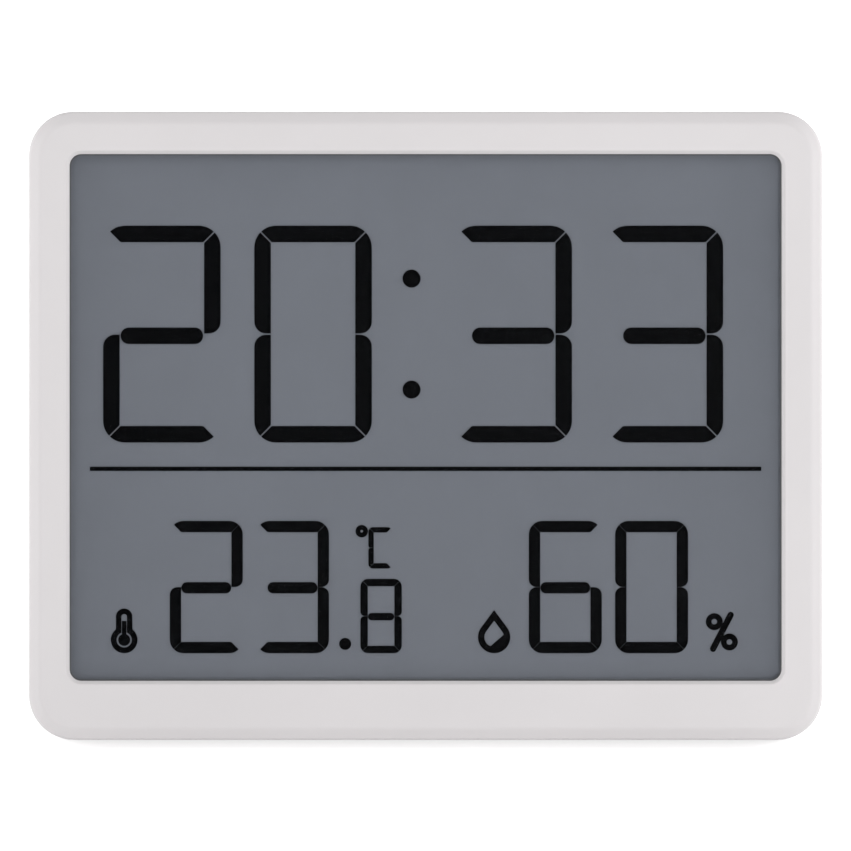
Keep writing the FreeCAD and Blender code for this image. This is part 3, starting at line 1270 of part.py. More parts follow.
def make_positive_contact():
    """Contact at the plus end of the outer cell."""
    x = OUTER_BATTERY_X
    half = CONTACT_WIDTH / 2
    return joined([contact_plate(x - half, x + half, BAY_TOP - CONTACT_THICKNESS), contact_tail(x)])


def make_negative_contact():
    """Spring contact at the flat end of the inner cell."""
    x = INNER_BATTERY_X
    half = CONTACT_WIDTH / 2
    base = BAY_TOP - CONTACT_THICKNESS
    return joined([
        contact_plate(x - half, x + half, base),
        contact_tail(x),
        spring_leaf(x, base, base - CONTACT_SPRING_SPACE),
    ])


def make_link_contact():
    """Plate at the bottom that links the two cells, with a spring under the outer one."""
    half = CONTACT_WIDTH / 2
    base = BAY_BOTTOM + CONTACT_THICKNESS
    return joined([
        contact_plate(OUTER_BATTERY_X - half, INNER_BATTERY_X + half, BAY_BOTTOM),
        spring_leaf(OUTER_BATTERY_X, base, base + CONTACT_SPRING_SPACE),
    ])


def make_battery_door():
    """Battery door: a slice of the block's rear face with two tongues and grip grooves."""
    block_half = BLOCK_WIDTH / 2
    block = rounded_prism(-block_half, block_half, BLOCK_BOTTOM, BLOCK_TOP, PANEL_FRONT, BLOCK_REAR,
                          BLOCK_CORNER_RADIUS)
    block = block.makeFillet(BLOCK_EDGE_RADIUS, edges_at_depth(block, BLOCK_REAR))
    door = block.common(box(DOOR_LEFT - CUT_OVERRUN, DOOR_RIGHT, DOOR_FRONT, BLOCK_REAR + CUT_OVERRUN,
                            DOOR_BOTTOM, DOOR_TOP))
    tongues = box(DOOR_LEFT + DOOR_TONGUE_INSET, DOOR_RIGHT - DOOR_TONGUE_INSET, DOOR_GROOVE_FRONT,
                  DOOR_GROOVE_FRONT + DOOR_TONGUE_THICKNESS, DOOR_BOTTOM - DOOR_TONGUE_REACH,
                  DOOR_TOP + DOOR_TONGUE_REACH)
    middle = (DOOR_BOTTOM + DOOR_TOP) / 2
    grips = []
    for index in range(GRIP_COUNT):
        x = DOOR_LEFT + GRIP_FROM_EDGE + index * GRIP_PITCH
        grips.append(box(x, x + GRIP_WIDTH, BLOCK_REAR - GRIP_DEPTH, BLOCK_REAR + CUT_OVERRUN,
                         middle - GRIP_LENGTH / 2, middle + GRIP_LENGTH / 2))
    return joined([door, tongues]).cut(grips)


def opened(shape):
    """A piece of the stand, swung from its folded place to its stop."""
    shape = shape.copy()
    shape.rotate(Vector(0, STAND_PIVOT_Y, STAND_PIVOT_HEIGHT), ACROSS, STAND_OPENING)
    return shape


def leg_heel():
    """The heel above the barrel, which meets the floor of the recess when the leg is open."""
    y = STAND_PIVOT_Y
    z = STAND_PIVOT_HEIGHT
    stop = RECESS_FLOOR + HEEL_STOP_GAP
    path = [
        (y, z),
        (stop, z),
        (stop, z + HEEL_HEIGHT),
        (y + HEEL_TOP_DEPTH, z + HEEL_HEIGHT),
        (y + HEEL_BACK_DEPTH, z + HEEL_BACK_HEIGHT),
    ]
    return side_prism(path, -STAND_WIDTH / 2, STAND_WIDTH / 2)


def make_stand_leg():
    """Stand leg: ribbed plate with barrel, trunnions, heel and a tongue for its foot."""
    y = STAND_PIVOT_Y
    z = STAND_PIVOT_HEIGHT
    half = STAND_WIDTH / 2
    rear = y + STAND_BARREL_RADIUS
    inner = y - STAND_BARREL_RADIUS
    foot_inner = y + FOOT_OFFSET - FOOT_RADIUS
    shoulder = z - LEG_LENGTH + FOOT_CAP_LENGTH
    side = [
        (rear, z),
        (inner, z),
        (inner, shoulder + LEG_TAPER_LENGTH),
        (foot_inner, shoulder),
        (rear, shoulder),
    ]
    plate = side_prism(side, -half, half)
    plate = plate.makeFillet(STAND_EDGE_RADIUS, [
        edge for edge in plate.Edges
        if abs(edge.BoundBox.YMin - rear) < SAME_PLANE and edge.BoundBox.ZLength > STAND_WIDTH / 2
    ])
    barrel = pin_along_x(y, z, -half, half, STAND_BARREL_RADIUS)
    reach = half + STAND_SIDE_GAP + RECESS_WALL - TRUNNION_END_GAP
    trunnions = pin_along_x(y, z, -reach, reach, TRUNNION_RADIUS)
    tongue_middle = y + FOOT_OFFSET
    tongue = box(-half + STAND_SKIN + FOOT_SIDE_INSET, half - STAND_SKIN - FOOT_SIDE_INSET,
                 tongue_middle - FOOT_TONGUE_THICKNESS / 2, tongue_middle + FOOT_TONGUE_THICKNESS / 2,
                 shoulder - FOOT_TONGUE_LENGTH, shoulder)
    pockets = [
        box(low, high, inner - CUT_OVERRUN, rear - STAND_SKIN,
            shoulder + LEG_POCKET_FOOT, z - LEG_POCKET_TOP)
        for low, high in (
            (-half + STAND_RIB, -STAND_RIB / 2),
            (STAND_RIB / 2, half - STAND_RIB),
        )
    ]
    folded = joined([plate, barrel, trunnions, tongue]).cut(pockets)
    return joined([opened(folded), leg_heel()])


def make_stand_foot_pad():
    """Rubber cap over the tongue of the leg, with a round edge that meets the table."""
    y = STAND_PIVOT_Y + FOOT_OFFSET
    z = STAND_PIVOT_HEIGHT - LEG_LENGTH
    half = STAND_WIDTH / 2 - FOOT_SIDE_INSET
    shoulder = z + FOOT_CAP_LENGTH
    cap = side_prism([
        (y + FOOT_RADIUS, shoulder),
        (y - FOOT_RADIUS, shoulder),
        (y - FOOT_RADIUS, z),
        (y, z - FOOT_RADIUS, y + FOOT_RADIUS, z),
    ], -half, half)
    tongue_half = STAND_WIDTH / 2 - STAND_SKIN - FOOT_SIDE_INSET
    slot = box(-tongue_half, tongue_half, y - FOOT_TONGUE_THICKNESS / 2, y + FOOT_TONGUE_THICKNESS / 2,
               shoulder - FOOT_TONGUE_LENGTH, shoulder + CUT_OVERRUN)
    return opened(cap.cut(slot))


def standing(shape):
    """A finished piece, leaned back with the clock and set on the table."""
    shape = shape.copy()
    shape.rotate(ORIGIN, ACROSS, -LEAN_ANGLE)
    shape.translate(STANDING_SHIFT)
    return shape


NODES = {
    "front_frame": make_front_frame,
    "display_gasket": make_display_gasket,
    "lcd_front_polariser": make_lcd_front_polariser,
    "lcd_front_glass": make_lcd_front_glass,
    "time_digits": make_time_digits,
    "divider_line": make_divider_line,
    "temperature_digits": make_temperature_digits,
    "humidity_digits": make_humidity_digits,
    "unit_signs": make_unit_signs,
    "thermometer_icon": make_thermometer_icon,
    "droplet_icon": make_droplet_icon,
    "lcd_rear_glass": make_lcd_rear_glass,
    "lcd_reflector": make_lcd_reflector,
    "display_tray": make_display_tray,
    "tray_screws": make_tray_screws,
    "contact_strip": make_contact_strip,
    "main_board": make_main_board,
    "board_screws": make_board_screws,
    "controller_chip": make_controller_chip,
    "clock_crystal": make_clock_crystal,
    "air_sensor": make_air_sensor,
    "board_passives": make_board_passives,
    "key_switches": make_key_switches,
    "rear_cover": make_rear_cover,
    "case_screws": make_case_screws,
    "battery_1": make_battery_1,
    "battery_2": make_battery_2,
    "positive_contact": make_positive_contact,
    "negative_contact": make_negative_contact,
    "link_contact": make_link_contact,
    "battery_door": make_battery_door,
    "stand_leg": make_stand_leg,
    "stand_foot_pad": make_stand_foot_pad,
    "set_key": make_set_key,
    "up_key": make_up_key,
    "down_key": make_down_key,
    "set_plunger": lambda: make_plunger(2),
    "up_plunger": lambda: make_plunger(1),
    "down_plunger": lambda: make_plunger(0),
}

os.makedirs("parts", exist_ok=True)
for name, make in NODES.items():
    solids = [standing(solid) for solid in make().Solids]
    piece = Part.makeCompound(solids) if len(solids) > 1 else solids[0]
    piece.exportStep(f"parts/{name}.step")
    print(f"{name}: {len(solids)} solids, {piece.Volume:.1f} cubic mm")
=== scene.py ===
"""Looks of a slim thermometer hygrometer clock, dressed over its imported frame."""

import logging
import math
from dataclasses import dataclass
from dataclasses import field
from enum import Enum

import bpy
from mathutils import Matrix
from mathutils import Vector


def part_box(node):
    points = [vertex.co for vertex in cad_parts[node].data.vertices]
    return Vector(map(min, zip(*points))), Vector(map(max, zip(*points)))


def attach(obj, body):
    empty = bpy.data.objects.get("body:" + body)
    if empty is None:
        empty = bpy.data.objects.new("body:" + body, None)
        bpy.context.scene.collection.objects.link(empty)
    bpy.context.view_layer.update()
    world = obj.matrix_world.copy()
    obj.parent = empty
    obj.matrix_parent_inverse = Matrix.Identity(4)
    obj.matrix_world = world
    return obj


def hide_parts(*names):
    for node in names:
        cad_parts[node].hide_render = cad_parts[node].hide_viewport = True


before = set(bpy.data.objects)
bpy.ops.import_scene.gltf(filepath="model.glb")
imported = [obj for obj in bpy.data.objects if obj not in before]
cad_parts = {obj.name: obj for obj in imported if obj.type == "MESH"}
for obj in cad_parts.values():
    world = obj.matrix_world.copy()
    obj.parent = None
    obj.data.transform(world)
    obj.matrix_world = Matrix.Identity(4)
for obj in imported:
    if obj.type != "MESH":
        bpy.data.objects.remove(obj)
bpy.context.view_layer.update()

MM = 0.001
Colour = tuple[float, float, float]
Band = tuple[float, float]
Socket = bpy.types.NodeSocket
Feed = Socket | float | tuple

log = logging.getLogger("clock")


# The object's own frame

@dataclass(frozen=True)
class Lean:
    """How the clock leans back on its leg, and where the lower front edge of its case is."""

    angle: float = math.radians(15.0)
    foot_y: float = -29.4599 * MM
    foot_z: float = 2.5664 * MM

    def point(self, across: float, depth: float, height: float) -> Vector:
        """Place in the world of a point of the upright clock.

        Args:
            across: Distance to the right of the middle, in metres.
            depth: Distance behind the front face, in metres.
            height: Distance above the lower edge, in metres.

        Returns:
            The point in the world, in metres.
        """
        sine = math.sin(self.angle)
        cosine = math.cos(self.angle)
        y = self.foot_y + height * sine + depth * cosine
        z = self.foot_z + height * cosine - depth * sine
        return Vector((across, y, z))

    def mapping(self) -> tuple[Vector, Vector]:
        """Location and rotation of a Mapping node that turns world places upright.

        Returns:
            The location and the Euler rotation for the node.
        """
        turn = Matrix.Rotation(self.angle, 3, "X")
        foot = Vector((0.0, self.foot_y, self.foot_z))
        return -(turn @ foot), Vector((self.angle, 0.0, 0.0))


@dataclass(frozen=True)
class Plate:
    """Upright size of a flat leaning piece and the place of its middle, in metres."""

    centre: Vector
    width: float
    thickness: float
    height: float

    @classmethod
    def of_node(cls, node: str, lean: Lean) -> "Plate":
        """Reads the plate that a leaning node fills.

        Args:
            node: Name of the node.
            lean: Lean of the clock.

        Returns:
            The node's plate.
        """
        low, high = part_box(node)
        size = high - low
        sine = math.sin(lean.angle)
        cosine = math.cos(lean.angle)
        spread = cosine ** 2 - sine ** 2
        thickness = (size.y * cosine - size.z * sine) / spread
        height = (size.z * cosine - size.y * sine) / spread
        return cls((low + high) / 2, size.x, thickness, height)


# Node trees

class Maths(Enum):
    """Operations of a Math node that the materials use."""

    ADD = "ADD"
    SUBTRACT = "SUBTRACT"
    MULTIPLY = "MULTIPLY"
    GREATER = "GREATER_THAN"
    MOST = "MAXIMUM"
    ABSOLUTE = "ABSOLUTE"
    FRACTION = "FRACT"


class SocketKind(Enum):
    """Kinds of socket that a shared effect takes in and puts out."""

    VALUE = "NodeSocketFloat"
    COLOUR = "NodeSocketColor"
    NORMAL = "NodeSocketVector"


class Graph:
    """Node tree under construction, with one short call for each kind of node."""

    MIX_SHARE = 0
    MIX_FIRST = 6
    MIX_SECOND = 7
    MIX_RESULT = 2
    NOISE_BAND: Band = (0.3, 0.7)
    NOISE_DETAIL = 2.0
    EDGE_SAMPLES = 4
    EDGE_BAND: Band = (0.995, 0.86)

    def __init__(self, tree: bpy.types.NodeTree) -> None:
        """Takes the tree to build in."""
        self.tree = tree

    @classmethod
    def of(cls, owner: bpy.types.Material | bpy.types.World) -> "Graph":
        """Gives a material or a world an empty node tree.

        Args:
            owner: What the tree belongs to.

        Returns:
            The graph of the empty tree.
        """
        owner.use_nodes = True
        owner.node_tree.nodes.clear()
        return cls(owner.node_tree)

    def node(self, kind: str, **settings: object) -> bpy.types.Node:
        """Adds a node.

        Args:
            kind: Type name of the node.
            **settings: Properties to set on it.

        Returns:
            The new node.
        """
        made = self.tree.nodes.new(kind)
        for name, value in settings.items():
            setattr(made, name, value)
        return made

    def feed(self, entry: Socket, value: Feed) -> None:
        """Links an output to an entry, or sets the entry's own value.

        Args:
            entry: Input socket.
            value: Output socket, number or colour.
        """
        if isinstance(value, bpy.types.NodeSocket):
            self.tree.links.new(value, entry)
        else:
            entry.default_value = value

    def maths(self, operation: Maths, first: Feed, second: Feed = 0.0) -> Socket:
        """Adds a Math node.

        Args:
            operation: What it does.
            first: First value.
            second: Second value, where the operation has one.

        Returns:
            The result.
        """
        made = self.node("ShaderNodeMath", operation=operation.value)
        self.feed(made.inputs[0], first)
        self.feed(made.inputs[1], second)
        return made.outputs[0]

    def span(self, value: Feed, low: float, high: float, start: Feed = 0.0, end: Feed = 1.0) -> Socket:
        """Maps a range of values onto another, clamped at its ends.

        Args:
            value: The value to map.
            low: Value that becomes start.
            high: Value that becomes end.
            start: Result at low.
            end: Result at high.

        Returns:
            The mapped value.
        """
        made = self.node("ShaderNodeMapRange", clamp=True)
        self.feed(made.inputs["Value"], value)
        self.feed(made.inputs["From Min"], low)
        self.feed(made.inputs["From Max"], high)
        self.feed(made.inputs["To Min"], start)
        self.feed(made.inputs["To Max"], end)
        return made.outputs["Result"]

    def sway(self, noise: Socket, start: float = 0.0, end: float = 1.0) -> Socket:
        """Maps the range in which most of a noise lies onto another."""
        return self.span(noise, *self.NOISE_BAND, start, end)

    def mix(self, share: Feed, first: Feed, second: Feed) -> Socket:
        """Mixes two colours.

        Args:
            share: Share of the second colour.
            first: First colour.
            second: Second colour.

        Returns:
            The mixed colour.
        """
        made = self.node("ShaderNodeMix", data_type="RGBA")
        self.feed(made.inputs[self.MIX_SHARE], share)
        self.feed(made.inputs[self.MIX_FIRST], first)
        self.feed(made.inputs[self.MIX_SECOND], second)
        return made.outputs[self.MIX_RESULT]

    def scaled(self, colour: Feed, factor: Feed) -> Socket:
        """Makes a colour lighter or darker.

        Args:
            colour: The colour.
            factor: What each of its parts is multiplied by.

        Returns:
            The changed colour.
        """
        made = self.node("ShaderNodeVectorMath", operation="SCALE")
        self.feed(made.inputs[0], colour)
        self.feed(made.inputs["Scale"], factor)
        return made.outputs["Vector"]

    def product(self, vector: Feed, factors: Feed) -> Socket:
        """Multiplies a vector or colour by another, part by part.

        Args:
            vector: The vector.
            factors: Factors of its three parts.

        Returns:
            The product.
        """
        made = self.node("ShaderNodeVectorMath", operation="MULTIPLY")
        self.feed(made.inputs[0], vector)
        self.feed(made.inputs[1], factors)
        return made.outputs["Vector"]

    def place(self) -> Socket:
        """Returns the object coordinates, in metres."""
        return self.node("ShaderNodeTexCoord").outputs["Object"]

    def upright(self, lean: Lean, scale: tuple = (1.0, 1.0, 1.0)) -> Socket:
        """Object coordinates of the upright clock, in metres times a scale.

        Args:
            lean: Lean of the clock.
            scale: Scale along the upright axes.

        Returns:
            The coordinates.
        """
        turned = self.node("ShaderNodeMapping", vector_type="POINT")
        location, rotation = lean.mapping()
        self.feed(turned.inputs["Vector"], self.place())
        turned.inputs["Location"].default_value = location
        turned.inputs["Rotation"].default_value = rotation
        return self.product(turned.outputs["Vector"], scale)

    def noise(
        self, place: Socket, scale: Feed, detail: float = NOISE_DETAIL, distortion: float = 0.0,
    ) -> Socket:
        """Adds a Noise texture.

        Args:
            place: Texture coordinates.
            scale: Features for each unit of the coordinates.
            detail: Number of finer layers.
            distortion: How much it is warped.

        Returns:
            The noise, from 0 to 1.
        """
        made = self.node("ShaderNodeTexNoise")
        self.feed(made.inputs["Vector"], place)
        self.feed(made.inputs["Scale"], scale)
        made.inputs["Detail"].default_value = detail
        made.inputs["Distortion"].default_value = distortion
        return made.outputs[0]

    def edge_mask(self, radius: float) -> tuple[Socket, Socket]:
        """Finds the edges of a piece from its rounded normals.

        Args:
            radius: Radius of the rounding, in metres.

        Returns:
            The mask, 1 on an edge, and the rounded normal.
        """
        rounded = self.node("ShaderNodeBevel", samples=self.EDGE_SAMPLES)
        rounded.inputs["Radius"].default_value = radius
        flat = self.node("ShaderNodeNewGeometry").outputs["Normal"]
        likeness = self.node("ShaderNodeVectorMath", operation="DOT_PRODUCT")
        self.feed(likeness.inputs[0], rounded.outputs["Normal"])
        self.feed(likeness.inputs[1], flat)
        mask = self.span(likeness.outputs["Value"], *self.EDGE_BAND)
        return mask, rounded.outputs["Normal"]

    def bump(self, height: Feed, distance: Feed, normal: Socket | None = None) -> Socket:
        """Adds a Bump node.

        Args:
            height: Height of the surface, from 0 to 1.
            distance: Real height of 1, in metres.
            normal: Normal that it starts from.

        Returns:
            The bumped normal.
        """
        made = self.node("ShaderNodeBump")
        self.feed(made.inputs["Height"], height)
        self.feed(made.inputs["Distance"], distance)
        if normal is not None:
            self.feed(made.inputs["Normal"], normal)
        return made.outputs["Normal"]


# Effects that several finishes share

class SharedEffect:
    """Shader node group that puts out colours, values and normals."""

    name = "effect"
    entries: tuple[tuple[str, SocketKind], ...] = ()
    results: tuple[tuple[str, SocketKind], ...] = ()

    def fill(self, graph: Graph, given: bpy.types.NodeOutputs, leave: bpy.types.NodeInputs) -> None:
        """Builds the inside of the group; each effect has its own."""
        raise NotImplementedError

    def tree(self) -> bpy.types.NodeTree:
        """Makes the group's tree at its first use.

        Returns:
            The tree.
        """
        found = bpy.data.node_groups.get(self.name)
        if found:
            return found
        tree = bpy.data.node_groups.new(self.name, "ShaderNodeTree")
        for name, kind in self.entries:
            tree.interface.new_socket(name=name, in_out="INPUT", socket_type=kind.value)
        for name, kind in self.results:
            tree.interface.new_socket(name=name, in_out="OUTPUT", socket_type=kind.value)
        graph = Graph(tree)
        self.fill(graph, graph.node("NodeGroupInput").outputs, graph.node("NodeGroupOutput").inputs)
        return tree

    def use(self, graph: Graph, **values: Feed) -> bpy.types.Node:
        """Adds the group to a material.

        Args:
            graph: Graph of the material.
            **values: Values of the entries, by their names with underscores for spaces.

        Returns:
            The group's node.
        """
        made = graph.node("ShaderNodeGroup", node_tree=self.tree())
        for name, value in values.items():
            graph.feed(made.inputs[name.replace("_", " ")], value)
        return made


class MouldedGrain(SharedEffect):
    """Spark-eroded grain of moulded plastic, worn smoother on its edges, with a painted highlight that makes
    the edges lighter.
    """

    name = "moulded_grain"
    entries = (
        ("Colour", SocketKind.COLOUR),
        ("Roughness", SocketKind.VALUE),
        ("Grain Scale", SocketKind.VALUE),
        ("Grain Height", SocketKind.VALUE),
        ("Rubbing", SocketKind.VALUE),
    )
    results = (
        ("Colour", SocketKind.COLOUR),
        ("Roughness", SocketKind.VALUE),
        ("Normal", SocketKind.NORMAL),
    )
    GRAIN_DETAIL = 3.0
    GRAIN_ROUGHNESS: Band = (-0.035, 0.035)
    FLOW_SCALE = 22.0
    FLOW_DISTORTION = 0.8
    FLOW_TONES: Band = (0.985, 1.012)
    TOUCH_SCALE = 310.0
    TOUCH_DETAIL = 5.0
    TOUCH_BAND: Band = (0.56, 0.72)
    TOUCH_POLISH = 0.05
    EDGE_RADIUS = 0.35 * MM
    # painted highlight: how much lighter the colour is made along the edges
    EDGE_HIGHLIGHT_TONE = 1.06
    EDGE_POLISH = 0.12

    def fill(self, graph: Graph, given: bpy.types.NodeOutputs, leave: bpy.types.NodeInputs) -> None:
        """Builds the grain, the slow change of tone, the worn edges and the painted highlight on them.

        Args:
            graph: Graph of the group.
            given: Values that the group is given.
            leave: Results that the group puts out.
        """
        place = graph.place()
        grain = graph.noise(place, given["Grain Scale"], self.GRAIN_DETAIL)
        flow = graph.noise(place, self.FLOW_SCALE, distortion=self.FLOW_DISTORTION)
        touch = graph.span(graph.noise(place, self.TOUCH_SCALE, self.TOUCH_DETAIL), *self.TOUCH_BAND)
        edge, rounded = graph.edge_mask(self.EDGE_RADIUS)
        # the edge mask drives both the smoother worn edges and the painted highlight on them
        rubbed_and_highlit = graph.maths(Maths.MULTIPLY, edge, given["Rubbing"])
        toned = graph.scaled(given["Colour"], graph.sway(flow, *self.FLOW_TONES))
        # painted highlight: a lighter copy of the colour, mixed in along the edges
        lighter = graph.scaled(given["Colour"], self.EDGE_HIGHLIGHT_TONE)
        rough = graph.maths(Maths.ADD, given["Roughness"], graph.sway(grain, *self.GRAIN_ROUGHNESS))
        touched = graph.maths(Maths.MULTIPLY, touch, self.TOUCH_POLISH)
        polish = graph.maths(Maths.ADD, touched, graph.maths(Maths.MULTIPLY, rubbed_and_highlit, self.EDGE_POLISH))
        graph.feed(leave["Colour"], graph.mix(rubbed_and_highlit, toned, lighter))
        graph.feed(leave["Roughness"], graph.maths(Maths.SUBTRACT, rough, polish))
        graph.feed(leave["Normal"], graph.bump(grain, given["Grain Height"], rounded))


class MetalGrain(SharedEffect):
    """Drawn or rolled metal with fine lines, dull patches and a painted highlight along its edges."""

    name = "metal_grain"
    entries = (
        ("Colour", SocketKind.COLOUR),
        ("Roughness", SocketKind.VALUE),
        ("Dulling", SocketKind.VALUE),
    )
    results = MouldedGrain.results
    LINE_STRETCH = (1.0, 0.12, 0.12)
    LINE_SCALE = 9000.0
    LINE_DETAIL = 3.0
    LINE_ROUGHNESS: Band = (-0.08, 0.08)
    LINE_DEPTH = 0.004 * MM
    PATCH_SCALE = 420.0
    PATCH_DETAIL = 4.0
    PATCH_DISTORTION = 0.6
    PATCH_BAND: Band = (0.42, 0.68)
    PATCH_TINT = (0.62, 0.58, 0.52)
    PATCH_ROUGHNESS = 0.2
    EDGE_RADIUS = 0.12 * MM
    # painted highlight: share and near-white colour mixed in along the edges
    EDGE_HIGHLIGHT_SHARE = 0.35
    EDGE_HIGHLIGHT_COLOUR = (0.92, 0.92, 0.9, 1.0)

    def fill(self, graph: Graph, given: bpy.types.NodeOutputs, leave: bpy.types.NodeInputs) -> None:
        """Builds the rolling lines, the dull patches and the painted highlight on the edges.

        Args:
            graph: Graph of the group.
            given: Values that the group is given.
            leave: Results that the group puts out.
        """
        place = graph.place()
        lines = graph.noise(graph.product(place, self.LINE_STRETCH), self.LINE_SCALE, self.LINE_DETAIL)
        clouds = graph.noise(place, self.PATCH_SCALE, self.PATCH_DETAIL, self.PATCH_DISTORTION)
        dulled = graph.maths(Maths.MULTIPLY, graph.span(clouds, *self.PATCH_BAND), given["Dulling"])
        edge, rounded = graph.edge_mask(self.EDGE_RADIUS)
        colour = graph.mix(dulled, given["Colour"], graph.product(given["Colour"], self.PATCH_TINT))
        # painted highlight: the colour mixed towards near white along the edges
        edge_highlit = graph.mix(graph.maths(Maths.MULTIPLY, edge, self.EDGE_HIGHLIGHT_SHARE), colour, self.EDGE_HIGHLIGHT_COLOUR)
        rough = graph.maths(Maths.ADD, given["Roughness"], graph.sway(lines, *self.LINE_ROUGHNESS))
        duller = graph.maths(Maths.MULTIPLY, dulled, self.PATCH_ROUGHNESS)
        graph.feed(leave["Colour"], edge_highlit)
        graph.feed(leave["Roughness"], graph.maths(Maths.ADD, rough, duller))
        graph.feed(leave["Normal"], graph.bump(lines, self.LINE_DEPTH, rounded))


class SoftGrain(SharedEffect):
    """Pores of foam, rubber and elastomer, with dust in them."""

    name = "soft_grain"
    entries = (
        ("Colour", SocketKind.COLOUR),
        ("Dust", SocketKind.COLOUR),
        ("Pore Scale", SocketKind.VALUE),
        ("Pore Depth", SocketKind.VALUE),
    )
    results = MouldedGrain.results
    PORE_BAND: Band = (0.05, 0.55)
    PORE_ROUGHNESS: Band = (0.82, 0.66)
    DUST_SCALE = 600.0
    DUST_DETAIL = 5.0
    DUST_DISTORTION = 0.5
    DUST_BAND: Band = (0.5, 0.78)
    DUST_SHARES: Band = (0.0, 0.3)

    def fill(self, graph: Graph, given: bpy.types.NodeOutputs, leave: bpy.types.NodeInputs) -> None:
        """Builds the pores and the dust.

        Args:
            graph: Graph of the group.
            given: Values that the group is given.
            leave: Results that the group puts out.
        """
        place = graph.place()
        pores = graph.node("ShaderNodeTexVoronoi")
        graph.feed(pores.inputs["Vector"], place)
        graph.feed(pores.inputs["Scale"], given["Pore Scale"])
        depth = graph.span(pores.outputs["Distance"], *self.PORE_BAND)
        specks = graph.noise(place, self.DUST_SCALE, self.DUST_DETAIL, self.DUST_DISTORTION)
        dust = graph.span(specks, *self.DUST_BAND, *self.DUST_SHARES)
        graph.feed(leave["Colour"], graph.mix(dust, given["Colour"], given["Dust"]))
        graph.feed(leave["Roughness"], graph.span(depth, 0.0, 1.0, *self.PORE_ROUGHNESS))
        graph.feed(leave["Normal"], graph.bump(depth, given["Pore Depth"]))


class ClearSheet(SharedEffect):
    """Clear sheet with a trace of haze and dust, for film and glass."""

    name = "clear_sheet"
    entries = (
        ("Colour", SocketKind.COLOUR),
        ("Alpha", SocketKind.VALUE),
        ("Roughness", SocketKind.VALUE),
        ("Ripple", SocketKind.VALUE),
    )
    results = (
        ("Colour", SocketKind.COLOUR),
        ("Alpha", SocketKind.VALUE),
        ("Roughness", SocketKind.VALUE),
        ("Normal", SocketKind.NORMAL),
    )
    HAZE_SCALE = 45.0
    HAZE_DETAIL = 3.0
    HAZE_DISTORTION = 0.4
    HAZE_ALPHA: Band = (0.96, 1.04)
    HAZE_ROUGHNESS: Band = (-0.02, 0.04)
    GRAIN_SCALE = 5200.0
    DUST_SCALE = 1500.0
    DUST_BAND: Band = (0.74, 0.8)
    DUST_COLOUR = (0.2, 0.2, 0.2, 1.0)

    def fill(self, graph: Graph, given: bpy.types.NodeOutputs, leave: bpy.types.NodeInputs) -> None:
        """Builds the haze, the dust and the slight ripple of the sheet.

        Args:
            graph: Graph of the group.
            given: Values that the group is given.
            leave: Results that the group puts out.
        """
        place = graph.place()
        haze = graph.noise(place, self.HAZE_SCALE, self.HAZE_DETAIL, self.HAZE_DISTORTION)
        grain = graph.noise(place, self.GRAIN_SCALE)
        dust = graph.span(graph.noise(place, self.DUST_SCALE), *self.DUST_BAND)
        varied = graph.maths(Maths.MULTIPLY, given["Alpha"], graph.sway(haze, *self.HAZE_ALPHA))
        rough = graph.maths(Maths.ADD, given["Roughness"], graph.sway(haze, *self.HAZE_ROUGHNESS))
        graph.feed(leave["Colour"], graph.mix(dust, given["Colour"], self.DUST_COLOUR))
        graph.feed(leave["Alpha"], varied)
        graph.feed(leave["Roughness"], rough)
        graph.feed(leave["Normal"], graph.bump(grain, given["Ripple"]))


# Finishes

@dataclass(frozen=True)
class Finish:
    """Look of one material of the clock, made as a node material."""

    name: str
    colour: Colour

    def material(self) -> bpy.types.Material:
        """Makes the material at its first use.

        Returns:
            The material.
        """
        found = bpy.data.materials.get(self.name)
        if found:
            return found
        made = bpy.data.materials.new(self.name)
        graph = Graph.of(made)
        shader = graph.node("ShaderNodeBsdfPrincipled")
        graph.feed(graph.node("ShaderNodeOutputMaterial").inputs["Surface"], shader.outputs["BSDF"])
        self.dress(graph, shader)
        return made

    def dress(self, graph: Graph, shader: bpy.types.Node) -> None:
        """Builds the nodes that feed the shader; each finish has its own."""
        raise NotImplementedError

    def rgba(self, colour: Colour | None = None) -> tuple:
        """Returns a colour, the finish's own where none is given, with full alpha."""
        return (*(colour or self.colour), 1.0)

    def join(self, graph: Graph, shader: bpy.types.Node, effect: bpy.types.Node) -> None:
        """Feeds the shader from a shared effect's results.

        Args:
            graph: Graph of the material.
            shader: The material's shader.
            effect: Node of the shared effect.
        """
        targets = {"Colour": "Base Color"}
        for result in effect.outputs:
            graph.feed(shader.inputs[targets.get(result.name, result.name)], result)


@dataclass(frozen=True)
class MouldedPlastic(Finish):
    """Injection moulded plastic with a fine spark texture."""

    roughness: float = 0.42
    grain_size: float = 0.28 * MM
    grain_height: float = 0.012 * MM
    # strength of the worn edges and of the painted highlight on them
    rubbing_and_highlight: float = 0.6
    specular: float = 0.4

    def dress(self, graph: Graph, shader: bpy.types.Node) -> None:
        """Feeds the shader from the moulded grain.

        Args:
            graph: Graph of the material.
            shader: The material's shader.
        """
        shader.inputs["Specular IOR Level"].default_value = self.specular
        effect = MouldedGrain().use(
            graph, Colour=self.rgba(), Roughness=self.roughness, Grain_Scale=1.0 / self.grain_size,
            Grain_Height=self.grain_height, Rubbing=self.rubbing_and_highlight,
        )
        self.join(graph, shader, effect)


@dataclass(frozen=True)
class Metal(Finish):
    """Rolled, drawn or plated metal."""

    roughness: float = 0.3
    dulling: float = 0.4

    def dress(self, graph: Graph, shader: bpy.types.Node) -> None:
        """Feeds the shader from the metal grain.

        Args:
            graph: Graph of the material.
            shader: The material's shader.
        """
        shader.inputs["Metallic"].default_value = 1.0
        effect = MetalGrain().use(graph, Colour=self.rgba(), Roughness=self.roughness, Dulling=self.dulling)
        self.join(graph, shader, effect)


